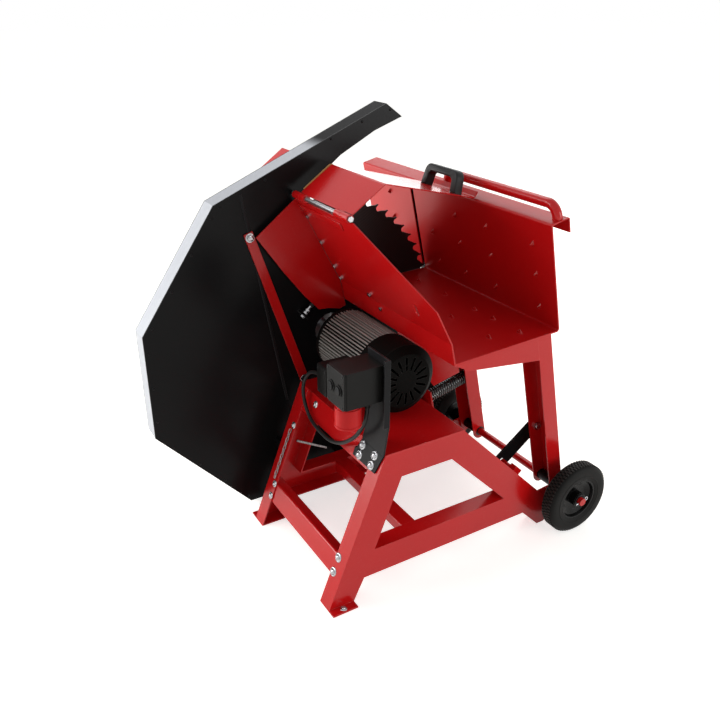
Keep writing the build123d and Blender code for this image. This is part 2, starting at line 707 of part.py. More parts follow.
# Left wall: a bent sheet on the floor's edge, cut down towards the near end, with the hinge's fixed knuckles
WALL_FAR = -112
FLAP_NEAR = 140
KNUCKLE_R = 9
ROD_R = 5
KNUCKLE = 32
WALL_NEAR_TOP = 664
WALL_SLOT = (258, 634)
FAR_WALL = -206
HOOD_FAR = -350
HOOD_FOLD = (-243, 868)
WALL_IN = FLOOR_LEFT[0] - 0.54
with BuildPart() as far_end:
    bent_sheet(
        rocker_section(TROUGH_FAR),
        [(WALL_IN, FLOOR_LEFT[1] - 5), (WALL_IN, WALL_BEND), (HINGE[0] + 5, HINGE[1] - 10)],
        SHEET, Side.LEFT, 5, HOOD_FAR - TROUGH_FAR,
    )
    with BuildSketch(rocker_front()):
        Polygon(
            (TROUGH_FAR - 1, WALL_NEAR_TOP), (HOOD_FAR, HINGE[1] - 12), (HOOD_FAR, HINGE[1] + 9),
            (TROUGH_FAR - 1, HINGE[1] + 9), align=None,
        )
    extrude(amount=400, mode=Mode.SUBTRACT)

with BuildPart() as left_walls:
    bent_sheet(
        rocker_section(WALL_FAR),
        [(WALL_IN, FLOOR_LEFT[1] - 5), (WALL_IN, WALL_BEND), (HINGE[0] + 2, HINGE[1] - KNUCKLE_R + 1)],
        SHEET, Side.LEFT, 5, TROUGH_NEAR - WALL_FAR,
    )
    with BuildSketch(rocker_front()):
        Polygon(*[
            (FLAP_NEAR, HINGE[1]), (TROUGH_NEAR + 1, WALL_NEAR_TOP), (TROUGH_NEAR + 1, HINGE[1] + 20),
            (FLAP_NEAR, HINGE[1] + 20),
        ], align=None)
    extrude(amount=400, mode=Mode.SUBTRACT)
    for x in (WALL_FAR, FLAP_NEAR - KNUCKLE):
        with BuildSketch(rocker_section(x)):
            with Locations(HINGE):
                Circle(KNUCKLE_R)
                Circle(ROD_R, mode=Mode.SUBTRACT)
        extrude(amount=KNUCKLE)
    with BuildSketch(rocker_section(WALL_FAR + KNUCKLE + 0.5)):
        with Locations(HINGE):
            Circle(KNUCKLE_R + 1.5)
    extrude(amount=FLAP_NEAR - WALL_FAR - 2 * KNUCKLE - 1, mode=Mode.SUBTRACT)
    with BuildSketch(rocker_front()):
        with Locations(WALL_SLOT):
            SlotOverall(34, 14, rotation=78)
    extrude(amount=400, mode=Mode.SUBTRACT)
    # The wall goes on beyond the blade, with a fixed hood bent over its top and a sloping far end
    bent_sheet(
        rocker_section(HOOD_FAR),
        [(WALL_IN, FLOOR_LEFT[1] - 5), (WALL_IN, WALL_BEND), (HINGE[0] + 2, HINGE[1]), HOOD_FOLD],
        SHEET, Side.LEFT, 5, FAR_WALL - HOOD_FAR,
    )
    add(far_end.part)
save(left_walls, "left_walls")

# Near shield: a plate beside the guard, bolted to the end of the left wall
SHIELD = [
    (-340, 820), (-460, 766), (-416, 656), (-380, 577), (-352, 527), (-326, 519), (-295, 504), (-277, 506),
    (-277, 578),
]
with BuildPart() as near_shield:
    with BuildSketch(rocker_section(WALL_FAR - SHEET)):
        Polygon(*SHIELD, align=None)
    extrude(amount=SHEET)
save(near_shield, "near_shield")

# Slot cover: a box behind the back plate that closes the blade's slot from the rear
COVER_WIDTH = 48
COVER_DEPTH = 38
with BuildPart() as slot_cover:
    with BuildSketch(rocker_section(BLADE_X - COVER_WIDTH / 2)):
        back = BACK_Y + SHEET
        Polygon((back, 482), (back + COVER_DEPTH, 520), (back + COVER_DEPTH, 700), (back, 729), align=None)
    extrude(amount=COVER_WIDTH)
    with BuildSketch(rocker_section(BLADE_X - COVER_WIDTH / 2 + SHEET)):
        inner_back = back + COVER_DEPTH - SHEET
        Polygon((back - 1, 486), (inner_back, 522), (inner_back, 698), (back - 1, 725), align=None)
    extrude(amount=COVER_WIDTH - 2 * SHEET, mode=Mode.SUBTRACT)
save(slot_cover, "slot_cover")

# Rocker legs: channels open to the front, with a rounded lower end and holes for the pivot bushes
BUSH_R = 14
LEG_LOW = -23
PIVOT = (-1, 162)
PIVOT_R = 6
for name, outer in (("rocker_leg_near", LEG_NEAR), ("rocker_leg_far", LEG_FAR + CHANNEL)):
    with BuildPart() as leg:
        with BuildSketch(rocker_section(outer - CHANNEL)):
            with BuildLine():
                Polyline(
                    (CHANNEL_FRONT, 0), (CHANNEL_FRONT, floor_under(CHANNEL_FRONT)), (5, floor_under(5)),
                    (CHANNEL_BACK, 466), (CHANNEL_BACK, LEG_LOW), (0, LEG_LOW),
                )
                ThreePointArc((0, LEG_LOW), (-16.3, -16.3), (CHANNEL_FRONT, 0))
            make_face()
            Circle(BUSH_R, mode=Mode.SUBTRACT)
        extrude(amount=CHANNEL)
        with BuildSketch(rocker_section(outer - CHANNEL + SHEET)):
            with Locations(((CHANNEL_FRONT - 10 + CHANNEL_BACK - SHEET) / 2, 230)):
                Rectangle(CHANNEL_BACK - SHEET - CHANNEL_FRONT + 10, 520)
        extrude(amount=CHANNEL - 2 * SHEET, mode=Mode.SUBTRACT)
        if name == "rocker_leg_near":
            with BuildSketch(rocker_section(outer - CHANNEL)):
                with Locations(PIVOT):
                    Circle(PIVOT_R)
            extrude(amount=SHEET, mode=Mode.SUBTRACT)
    save(leg, name)

with BuildPart() as pivot_bushes:
    for outer in (LEG_NEAR, LEG_FAR + CHANNEL):
        disc(rocker_section(outer - CHANNEL - 1), BUSH_R, CHANNEL + 2, AXLE_R + RUNNING_GAP)
save(pivot_bushes, "pivot_bushes")

# Gussets: a plate from each leg up to the floor's front edge
PANEL_X = 37
with BuildPart() as under_panels:
    for x in (LEG_NEAR - SHEET, LEG_FAR):
        with BuildSketch(rocker_section(x)):
            Polygon(*[
                (CHANNEL_FRONT, 400), (CHANNEL_FRONT, floor_under(CHANNEL_FRONT)), (-262, floor_under(-262)),
                (-262, 508), (-220, 470),
            ], align=None)
        extrude(amount=SHEET)
    # Between them a panel under the floor, cut back where the motor comes close
    with BuildSketch(rocker_section(PANEL_X)):
        with BuildLine():
            Polyline(
                (-238, 500), (-250, floor_under(-250)), (-65, floor_under(-65)), (-65, 258), (-150, 258),
                (-222, 430),
            )
            ThreePointArc((-222, 430), (-227, 466), (-238, 500))
        make_face()
    extrude(amount=SHEET)
save(under_panels, "under_panels")

# Push handle: a bent tube that stands on the top flange
HANDLE_R = 11
HANDLE_Y = 40
HANDLE_Z = 766.5
HANDLE_X = (-45, 337)
with BuildPart() as push_handle:
    with BuildLine() as handle_path:
        FilletPolyline(
            rocker_point(HANDLE_X[1], HANDLE_Y, BACK_TOP), rocker_point(HANDLE_X[1], HANDLE_Y, HANDLE_Z),
            rocker_point(HANDLE_X[0], HANDLE_Y, HANDLE_Z), rocker_point(HANDLE_X[0], HANDLE_Y, BACK_TOP),
            radius=26,
        )
    with BuildSketch(Plane(origin=handle_path.wire() @ 0, z_dir=handle_path.wire() % 0)):
        Circle(HANDLE_R)
    sweep(path=handle_path.wire())
save(push_handle, "push_handle")

# Hinge rod with a nut on each end
with BuildPart() as hinge_rod:
    with BuildSketch(rocker_section(WALL_FAR - 4)):
        with Locations(HINGE):
            Circle(ROD_R)
    extrude(amount=FLAP_NEAR - WALL_FAR + 8)
    for x, thick in ((WALL_FAR - SHEET - 1, -6), (FLAP_NEAR, 5)):
        with BuildSketch(rocker_section(x)):
            with Locations(HINGE):
                RegularPolygon(6.5, 6)
        extrude(amount=thick)
save(hinge_rod, "hinge_rod")

# Flap: a bent sheet on the hinge, with a wing that slopes down to the back plate and a curled tip
FLAP_SHEET = 2.5
FLAP_FOLD = (-241, 872)
WING_END = (8, 742)
WING_TIP = (22, 751)
WING_NEAR = 95
FLAP_FAR = -92
TUBE = 24
with BuildPart() as flap_sheet:
    bent_sheet(
        rocker_section(FLAP_FAR), [(HINGE[0] + 5, HINGE[1] + 6.5), FLAP_FOLD, WING_END, WING_TIP],
        FLAP_SHEET, Side.RIGHT, 8, FLAP_NEAR - FLAP_FAR,
    )
    flap_plan = Plane(
        origin=rocker_point(0, 0, 0), x_dir=(1, 0, 0), z_dir=rocker_point(0, 0, 1) - rocker_point(0, 0, 0)
    )
    with BuildSketch(flap_plan.offset(700)):
        wing_edge = WING_TIP[0] + 5
        Polygon((FLAP_NEAR, FLAP_FOLD[0]), (WING_NEAR, wing_edge), (FLAP_NEAR + 5, wing_edge), align=None)
    extrude(amount=250, mode=Mode.SUBTRACT)
    for x in (WALL_FAR + KNUCKLE + 1, FLAP_NEAR - KNUCKLE - 1 - TUBE):
        with BuildSketch(rocker_section(x)):
            with Locations(HINGE):
                Circle(KNUCKLE_R)
                Circle(ROD_R + RUNNING_GAP, mode=Mode.SUBTRACT)
        extrude(amount=TUBE)
    for x, width in ((WALL_FAR - 1, KNUCKLE + 2), (FLAP_NEAR - KNUCKLE - 1, KNUCKLE + 2)):
        with BuildSketch(rocker_section(x)):
            with Locations(HINGE):
                Circle(KNUCKLE_R + 1)
        extrude(amount=width, mode=Mode.SUBTRACT)
save(flap_sheet, "flap_sheet")

# Trim along the flap's far edge, from the hinge to the fold
with BuildPart() as flap_trim:
    bent_sheet(
        rocker_section(FLAP_FAR - 4),
        [(HINGE[0] + 16, HINGE[1] + 12), (FLAP_FOLD[0] - 4, FLAP_FOLD[1] + 1),
         (FLAP_FOLD[0] + 3, FLAP_FOLD[1])],
        7, Side.RIGHT, 2, 4,
    )
save(flap_trim, "flap_trim")

# Flap handle: a moulded bow on the wing, with rounded shoulders
HANDLE_FOOT_Y = -30
HANDLE_MID = 23
wing_fall = (FLAP_FOLD[1] - WING_END[1]) / (WING_END[0] - FLAP_FOLD[0])
wing_z = FLAP_FOLD[1] - (HANDLE_FOOT_Y - FLAP_FOLD[0]) * wing_fall
wing_up = radians(TILT) - atan2(wing_fall, 1)
bow_plane = Plane(
    origin=rocker_point(HANDLE_MID, HANDLE_FOOT_Y, wing_z), x_dir=(1, 0, 0),
    z_dir=(0, -cos(wing_up), -sin(wing_up)),
)
BOW_DEPTH = 24
with BuildPart() as flap_handle:
    with BuildSketch(bow_plane):
        with BuildLine():
            FilletPolyline((-68, 0), (-60, 51), (60, 51), (68, 0), radius=17)
            Line((68, 0), (-68, 0))
        make_face()
        with BuildLine():
            FilletPolyline((-47, -1), (-43, 33), (43, 33), (47, -1), radius=11)
            Line((47, -1), (-47, -1))
        make_face(mode=Mode.SUBTRACT)
    extrude(amount=BOW_DEPTH / 2, both=True)
save(flap_handle, "flap_handle")

# Transport bar: a flat bar that swings on the near leg's inner side and hooks over a stud on the frame
BAR_X = 248
BAR_THICK = 5
TRANSPORT_WIDTH = 44
pivot = rocker_point(0, *PIVOT)
STUD = (266, 178)
STUD_R = 5
with BuildPart() as transport_bar:
    with BuildSketch(section(BAR_X)):
        with BuildLine():
            Line((pivot.Y, pivot.Z), STUD)
        trace(line_width=TRANSPORT_WIDTH)
        with Locations((pivot.Y, pivot.Z), STUD):
            Circle(TRANSPORT_WIDTH / 2)
        with Locations((pivot.Y, pivot.Z)):
            Circle(PIVOT_R + RUNNING_GAP, mode=Mode.SUBTRACT)
        with Locations(STUD):
            Circle(STUD_R + 1.5, mode=Mode.SUBTRACT)
        with Locations((STUD[0] + 4, STUD[1] - 16)):
            Rectangle(2 * STUD_R + 3, 32, rotation=14, mode=Mode.SUBTRACT)
    extrude(amount=BAR_THICK)
save(transport_bar, "transport_bar")

# Lock stud: a round stud on a block that sits on the slanted leg's flange
slant_flange = Plane(origin=(0, STUD[0], SLANT_OUT - STUD[0]), x_dir=(1, 0, 0), z_dir=(0, 1, 1))
with BuildPart() as lock_stud:
    with BuildSketch(slant_flange):
        with Locations((NEAR_FACE - FLANGE + 9, 0)):
            Rectangle(18, 26)
    extrude(amount=15)
    with BuildSketch(section(BAR_X + BAR_THICK + 0.6)):
        with Locations(STUD):
            Circle(STUD_R)
    extrude(amount=NEAR_FACE - FLANGE + 1 - BAR_X - BAR_THICK - 0.6)
save(lock_stud, "lock_stud")

# Spring seat: a bent plate on the far slanted leg, square to the spring
SPRING_X = LEG_FAR + CHANNEL / 2
SPRING_Z = 183
SEAT_Y = -134
with BuildPart() as spring_seat:
    with BuildSketch(rocker_section(FAR_FACE + 2)):
        with Locations((SEAT_Y - 2.5, 150)):
            Rectangle(5, 112)
    extrude(amount=SPRING_X + 22 - FAR_FACE - 2)
    split(bisect_by=Plane(origin=(0, SLANT_OUT, 0), z_dir=(0, 1, 1)), keep=Keep.TOP)
save(spring_seat, "spring_seat")

# Return spring: one open helix of round wire between the seat and the far leg's web
WIRE_R = 2.6
COIL_R = 16.5
SPRING_TURNS = 20
SPRING_START = SEAT_Y + 0.4 + WIRE_R
SPRING_END = CHANNEL_BACK - SHEET - 0.4 - WIRE_R
pitch = (SPRING_END - SPRING_START) / SPRING_TURNS


def coil_point(turns):
    """A point of the spring's centre line."""
    angle = 2 * pi * turns
    return rocker_point(
        SPRING_X + COIL_R * cos(angle), SPRING_START + pitch * turns, SPRING_Z + COIL_R * sin(angle)
    )


def coil_tangent(turns):
    """The direction of the spring's centre line at a point."""
    angle = 2 * pi * turns
    step = rocker_point(-COIL_R * sin(angle), pitch / (2 * pi), COIL_R * cos(angle)) - rocker_point(0, 0, 0)
    return step.normalized()


with BuildPart() as return_spring:
    with BuildLine() as coil:
        for half in range(2 * SPRING_TURNS):
            start, end = coil_point(half / 2), coil_point(half / 2 + 0.5)
            leave, arrive = coil_tangent(half / 2), coil_tangent(half / 2 + 0.5)
            chord = end - start
            both = leave + arrive
            bend = 2 * (1 - leave.dot(arrive))
            reach = (-chord.dot(both) + (chord.dot(both) ** 2 + bend * chord.dot(chord)) ** 0.5) / bend
            middle = (start + end + (leave - arrive) * reach) / 2
            first = TangentArc(start, middle, tangent=leave)
            TangentArc(middle, end, tangent=first % 1)
    with BuildSketch(Plane(origin=coil_point(0), z_dir=coil_tangent(0))):
        Circle(WIRE_R)
    sweep(path=coil.wire())
helix = coil.wire()
samples = [helix @ (i / 600) for i in range(601)]
per_turn = 600 // SPRING_TURNS
gap = min(
    (a - b).length for i, a in enumerate(samples) for b in samples[i + per_turn // 2:]
) - 2 * WIRE_R
print("spring gap", round(gap, 2), "length over wire", round(return_spring.part.volume / (pi * WIRE_R**2)))
save(return_spring, "return_spring")

# Chain on the far left leg: oval links between two bolts, and its pin across the leg's open side
CHAIN_X = FAR_FACE + 32
CHAIN_TOP = 257
LINKS = 12
LINK_LONG = 15
LINK_WIDE = 8
LINK_WIRE = 1.1
PIN_R = 3
leg_dir = Vector(0, LEG_FOOT - LEG_TOP, -FRAME_TOP).normalized()
leg_out = Vector(0, -FRAME_TOP, LEG_TOP - LEG_FOOT).normalized()
chain_start = Vector(CHAIN_X, leg_y(CHAIN_TOP), CHAIN_TOP) + leg_out * (LINK_WIDE / 2 + 1)
with BuildPart() as chain:
    for link in range(LINKS):
        middle = chain_start + leg_dir * (link * (LINK_LONG - 4 * LINK_WIRE + 1) + LINK_LONG / 2)
        across = Vector(1, 0, 0) if link % 2 else leg_out
        normal = leg_dir.cross(across)
        with BuildLine(Plane(origin=middle, x_dir=leg_dir, z_dir=normal)) as link_path:
            half_run = (LINK_LONG - LINK_WIDE) / 2
            bow = LINK_WIDE / 2 - LINK_WIRE
            Line((-half_run, bow), (half_run, bow))
            ThreePointArc((half_run, bow), (half_run + bow, 0), (half_run, -bow))
            Line((half_run, -bow), (-half_run, -bow))
            ThreePointArc((-half_run, -bow), (-half_run - bow, 0), (-half_run, bow))
        with BuildSketch(Plane(origin=middle - leg_dir * half_run + across * bow, z_dir=leg_dir)):
            Circle(LINK_WIRE)
        sweep(path=link_path.wire())
    pin_start = Vector(FAR_FACE + FLANGE + PIN_R, -173, 226.7)
    pin_end = Vector(FAR_FACE + FLANGE + PIN_R, -90.3, 180.5)
    with BuildSketch(Plane(origin=pin_start, z_dir=pin_end - pin_start)):
        Circle(PIN_R)
    extrude(amount=(pin_end - pin_start).length)
save(chain, "chain")

# Zinc bolts of the frame: on the switch bracket, the cross rail, the deck's edge and at the chain's ends
HEAD_R = 8.5
with BuildPart() as frame_bolts:
    heads = [(249, 350.5), (249, 328), (299, 350.5), (298, 328)]
    for x, z in heads:
        foot = Vector(x, leg_y(z), z) + leg_out * BRACKET_THICK
        with BuildSketch(Plane(origin=foot, z_dir=leg_out)):
            Circle(HEAD_R)
        extrude(amount=5)
    rails = [(297, 112), (297, 78), (CHAIN_X + 2, 112), (CHAIN_X + 2, 80)]
    for x, z in rails + [(CHAIN_X, CHAIN_TOP + 9), (24, 346)]:
        with BuildSketch(Plane(origin=Vector(x, leg_y(z), z), z_dir=leg_out)):
            Circle(HEAD_R)
        extrude(amount=5)
save(frame_bolts, "frame_bolts")

# Zinc bolts of the rocker: up the wall's far edge, on its lower strip, and the transport bar's pivot
with BuildPart() as rocker_bolts:
    rise = Vector(HINGE[0] + 2 - WALL_IN, HINGE[1] - KNUCKLE_R + 1 - WALL_BEND, 0).normalized()
    wall_out = rocker_point(0, -rise.Y, rise.X) - rocker_point(0, 0, 0)
    for x, z in ((-98, 774), (-98, 700), (-98, 628), (-98, 592), (40, 592)):
        along = (z - WALL_BEND) / rise.Y
        foot = rocker_point(x, WALL_IN + rise.X * along, WALL_BEND + rise.Y * along) + wall_out * SHEET
        with BuildSketch(Plane(origin=foot, x_dir=(1, 0, 0), z_dir=wall_out)):
            RegularPolygon(6, 6)
        extrude(amount=5)
    with BuildSketch(Plane(origin=rocker_point(72, WALL_IN - SHEET, 562), x_dir=(1, 0, 0),
                           z_dir=rocker_point(0, -1, 0) - rocker_point(0, 0, 0))):
        Circle(5)
    extrude(amount=3)
    with BuildSketch(section(BAR_X - 0.3)):
        with Locations((pivot.Y, pivot.Z)):
            Circle(PIVOT_R)
    extrude(amount=LEG_NEAR - CHANNEL + SHEET + 8 - BAR_X + 0.3)
    for x, thick in ((BAR_X - 0.3, -6), (LEG_NEAR - CHANNEL + SHEET, 7)):
        with BuildSketch(section(x)):
            with Locations((pivot.Y, pivot.Z)):
                RegularPolygon(10, 6)
        extrude(amount=thick)
    with BuildSketch(section(BAR_X + BAR_THICK + 0.3)):
        with Locations((pivot.Y, pivot.Z)):
            Circle(10)
    extrude(amount=LEG_NEAR - CHANNEL - BAR_X - BAR_THICK - 0.3)
save(rocker_bolts, "rocker_bolts")
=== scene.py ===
import math

import bmesh
import bpy
from mathutils import Matrix, Vector


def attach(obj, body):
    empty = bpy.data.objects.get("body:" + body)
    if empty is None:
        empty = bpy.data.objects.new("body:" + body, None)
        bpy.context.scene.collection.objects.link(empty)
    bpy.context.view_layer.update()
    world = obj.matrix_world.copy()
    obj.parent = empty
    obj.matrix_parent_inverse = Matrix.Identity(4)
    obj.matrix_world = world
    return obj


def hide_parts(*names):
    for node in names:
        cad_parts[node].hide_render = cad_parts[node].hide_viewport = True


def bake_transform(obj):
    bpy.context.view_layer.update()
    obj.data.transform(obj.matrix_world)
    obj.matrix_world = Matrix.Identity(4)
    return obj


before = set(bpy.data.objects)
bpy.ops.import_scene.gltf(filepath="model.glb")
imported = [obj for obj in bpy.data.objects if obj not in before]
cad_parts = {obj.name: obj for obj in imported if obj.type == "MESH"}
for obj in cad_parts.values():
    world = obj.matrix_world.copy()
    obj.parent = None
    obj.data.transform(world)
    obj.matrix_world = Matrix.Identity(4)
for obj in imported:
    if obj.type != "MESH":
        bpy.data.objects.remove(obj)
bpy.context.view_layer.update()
scene = bpy.context.scene
scene.view_settings.view_transform = "Standard"

# Camera: the viewpoint of the picture, to the left of the wheels and a little above the trough.
# It looks down at the machine through a normal lens.
CAMERA_PLACE = (1.4873, -0.8927, 1.2495)
CAMERA_LOOK = (-0.7744, 0.4632, -0.4310)
CAMERA_ROLL = math.radians(0.1221)


def put(name, data):
    """Add an object with the given data to the scene."""
    made = bpy.data.objects.new(name, data)
    scene.collection.objects.link(made)
    return made


look = Vector(CAMERA_LOOK).normalized()
level = look.cross(Vector((0, 0, 1))).normalized()
upright = level.cross(look)
right = level * math.cos(CAMERA_ROLL) + upright * math.sin(CAMERA_ROLL)
up = upright * math.cos(CAMERA_ROLL) - level * math.sin(CAMERA_ROLL)
camera_data = bpy.data.cameras.new("photo_camera")
camera_data.sensor_width = 36
camera_data.lens = 38.46
camera_data.clip_end = 80
camera = put("photo_camera", camera_data)
camera.matrix_world = Matrix.Translation(CAMERA_PLACE) @ Matrix((right, up, -look)).transposed().to_4x4()
scene.camera = camera

# Studio: a white room with soft panels, and a pale floor that keeps the machine's shadow.
# The room shows white to the camera and in the gloss of the paint.
ROOM_LIGHT = 0.44
ROOM_WHITE = 1.0
FLOOR_COLOUR = (0.92, 0.90, 0.84, 1)
FLOOR_GLOW = 0.63
PANELS = (
    ("front_panel", (-1.2, -2.9, 1.7), (0.0, 0.0, 0.5), (1.8, 1.4), 41),
    ("right_panel", (2.8, 1.7, 0.9), (0.1, 0.1, 0.4), (1.8, 1.2), 34),
    ("top_panel", (-1.7, 1.0, 3.1), (0.0, 0.1, 0.6), (2.2, 1.8), 30),
    ("left_panel", (-2.5, -2.0, 1.1), (0.0, -1.2, 0.9), (2.8, 2.2), 38),
    ("low_panel", (-2.5, -2.4, 0.56), (0.0, -0.4, 0.3), (1.7, 0.8), 38),
    ("back_panel", (-2.4, 2.3, 1.3), (0.0, 0.2, 0.8), (1.8, 1.2), 17),
)


def feed(links, socket, value):
    """Give a socket a plain value, or link it to an output of another node."""
    if isinstance(value, bpy.types.NodeSocket):
        links.new(value, socket)
    else:
        socket.default_value = value


def maths(nodes, links, operation, first, second):
    """The result of a maths node on two values."""
    made = nodes.new("ShaderNodeMath")
    made.operation = operation
    feed(links, made.inputs[0], first)
    feed(links, made.inputs[1], second)
    return made.outputs["Value"]


def seen_white(nodes, links):
    """One for rays from the camera, a gloss or a clear piece, and nought for light that falls on pieces."""
    path = nodes.new("ShaderNodeLightPath").outputs
    seen = maths(nodes, links, "MAXIMUM", path["Is Camera Ray"], path["Is Glossy Ray"])
    return maths(nodes, links, "MAXIMUM", seen, path["Is Transmission Ray"])


world = bpy.data.worlds.new("white_room")
scene.world = world
world.use_nodes = True
nodes, links = world.node_tree.nodes, world.node_tree.links
nodes.clear()
room_mix = nodes.new("ShaderNodeMixShader")
links.new(seen_white(nodes, links), room_mix.inputs[0])
for count, strength in ((1, ROOM_LIGHT), (2, ROOM_WHITE)):
    room = nodes.new("ShaderNodeBackground")
    room.inputs["Color"].default_value = (1, 1, 1, 1)
    room.inputs["Strength"].default_value = strength
    links.new(room.outputs[0], room_mix.inputs[count])
room_out = nodes.new("ShaderNodeOutputWorld")
links.new(room_mix.outputs[0], room_out.inputs["Surface"])

floor_mesh = bmesh.new()
bmesh.ops.create_grid(floor_mesh, x_segments=1, y_segments=1, size=30)
floor_data = bpy.data.meshes.new("floor")
floor_mesh.to_mesh(floor_data)
floor_mesh.free()
floor = put("floor", floor_data)
floor_white = bpy.data.materials.new("floor_white")
floor_white.use_nodes = True
nodes, links = floor_white.node_tree.nodes, floor_white.node_tree.links
nodes.clear()
floor_matte = nodes.new("ShaderNodeBsdfDiffuse")
floor_matte.inputs["Color"].default_value = FLOOR_COLOUR
floor_glow = nodes.new("ShaderNodeEmission")
links.new(
    maths(nodes, links, "MULTIPLY", seen_white(nodes, links), FLOOR_GLOW), floor_glow.inputs["Strength"]
)
floor_sum = nodes.new("ShaderNodeAddShader")
floor_out = nodes.new("ShaderNodeOutputMaterial")
links.new(floor_matte.outputs[0], floor_sum.inputs[0])
links.new(floor_glow.outputs[0], floor_sum.inputs[1])
links.new(floor_sum.outputs[0], floor_out.inputs["Surface"])
floor_data.materials.append(floor_white)

for name, place, aim, size, power in PANELS:
    panel_data = bpy.data.lights.new(name, "AREA")
    panel_data.shape = "RECTANGLE"
    panel_data.size, panel_data.size_y = size
    panel_data.energy = power
    panel = put(name, panel_data)
    panel.location = place
    panel.rotation_mode = "QUATERNION"
    panel.rotation_quaternion = (Vector(aim) - Vector(place)).to_track_quat("-Z", "Y")

# Side frames, deck and cross rails: pressed and bent steel sheet in glossy red powder coat.
# The coat flows a little as it is baked, which leaves a fine orange peel.
# A pale painted highlight lies along its folds.


def shader_group(name, inputs, outputs):
    """An empty shader node group with named sockets, and its nodes, links, inputs and outputs."""
    group = bpy.data.node_groups.new(name, "ShaderNodeTree")
    for socket, value in inputs.items():
        kind = "NodeSocketFloat" if isinstance(value, float) else "NodeSocketVector"
        made = group.interface.new_socket(socket, in_out="INPUT", socket_type=kind)
        made.default_value = value
    for socket, kind in outputs.items():
        group.interface.new_socket(socket, in_out="OUTPUT", socket_type=kind)
    given = group.nodes.new("NodeGroupInput").outputs
    result = group.nodes.new("NodeGroupOutput").inputs
    return group, group.nodes, group.links, given, result


def place_group(nodes, group, values):
    """The outputs of a node group that is placed in a material with its own values."""
    placed = nodes.new("ShaderNodeGroup")
    placed.node_tree = group
    for socket, value in values.items():
        placed.inputs[socket].default_value = value
    return placed.outputs


def pattern(nodes, links, kind, **values):
    """A procedural texture on object coordinates, with some of its sockets set."""
    coords = nodes.new("ShaderNodeTexCoord")
    texture = nodes.new(kind)
    for socket, value in values.items():
        feed(links, texture.inputs[socket], value)
    links.new(coords.outputs["Object"], texture.inputs["Vector"])
    return texture.outputs


def remap(nodes, links, value, start, end, low=0.0, high=1.0, shape="LINEAR"):
    """Turn a value's span from start to end into a span from low to high."""
    span = nodes.new("ShaderNodeMapRange")
    span.interpolation_type = shape
    feed(links, span.inputs["Value"], value)
    for socket, bound in (("From Min", start), ("From Max", end), ("To Min", low), ("To Max", high)):
        feed(links, span.inputs[socket], bound)
    return span.outputs["Result"]


def mix_colours(nodes, links, factor, first, second):
    """Blend two colours by a factor. Each colour is three numbers or an output of another node."""
    mix = nodes.new("ShaderNodeMix")
    mix.data_type = "RGBA"
    links.new(factor, mix.inputs["Factor"])
    for socket, colour in (("A", first), ("B", second)):
        feed(links, mix.inputs[socket], (*colour, 1) if isinstance(colour, tuple) else colour)
    return mix.outputs["Result"]


coat_group, nodes, links, given, result = shader_group(
    "baked_coat", {"Peel Scale": 420.0, "Dust": 0.1},
    {"Height": "NodeSocketFloat", "Mottle": "NodeSocketFloat", "Dust Mask": "NodeSocketFloat"},
)
orange_peel = pattern(nodes, links, "ShaderNodeTexNoise", Scale=given["Peel Scale"], Detail=2)
mottle = pattern(nodes, links, "ShaderNodeTexNoise", Scale=5, Detail=4)
specks = pattern(nodes, links, "ShaderNodeTexNoise", Scale=160, Detail=6, Roughness=0.7)
speck_mask = remap(nodes, links, specks["Fac"], start=0.56, end=0.74)
links.new(orange_peel["Fac"], result["Height"])
links.new(mottle["Fac"], result["Mottle"])
links.new(maths(nodes, links, "MULTIPLY", speck_mask, given["Dust"]), result["Dust Mask"])

fold_group, nodes, links, given, result = shader_group(
    "soft_folds", {"Radius": 0.001}, {"Normal": "NodeSocketVector", "Fold": "NodeSocketFloat"}
)
rounded = nodes.new("ShaderNodeBevel")
rounded.samples = 6
links.new(given["Radius"], rounded.inputs["Radius"])
flat = nodes.new("ShaderNodeNewGeometry")
fold_turn = nodes.new("ShaderNodeVectorMath")
fold_turn.operation = "DOT_PRODUCT"
links.new(rounded.outputs["Normal"], fold_turn.inputs[0])
links.new(flat.outputs["Normal"], fold_turn.inputs[1])
links.new(rounded.outputs["Normal"], result["Normal"])
links.new(remap(nodes, links, fold_turn.outputs["Value"], start=0.985, end=0.84), result["Fold"])


def new_material(name, shine=0.5):
    """A material, its nodes and links, and the sockets of its shader. Shine is the strength of its gloss."""
    material = bpy.data.materials.new(name)
    material.use_nodes = True
    skin = material.node_tree.nodes["Principled BSDF"].inputs
    skin["Specular IOR Level"].default_value = shine
    return material, material.node_tree.nodes, material.node_tree.links, skin


def finish_skin(nodes, links, skin, colour, fold_highlight, fold, gloss, relief):
    """Join a colour with painted fold highlights, a gloss between two values and a relief to a shader.

    The gloss is a pattern and its two values. The relief is a pattern, its depth and its strength.
    """
    folds = place_group(nodes, fold_group, {"Radius": fold})
    links.new(mix_colours(nodes, links, folds["Fold"], colour, fold_highlight), skin["Base Color"])
    tone, low, high = gloss
    links.new(remap(nodes, links, tone, start=0.0, end=1.0, low=low, high=high), skin["Roughness"])
    height, depth, strength = relief
    bump = nodes.new("ShaderNodeBump")
    bump.inputs["Distance"].default_value = depth
    bump.inputs["Strength"].default_value = strength
    links.new(height, bump.inputs["Height"])
    links.new(folds["Normal"], bump.inputs["Normal"])
    links.new(bump.outputs["Normal"], skin["Normal"])


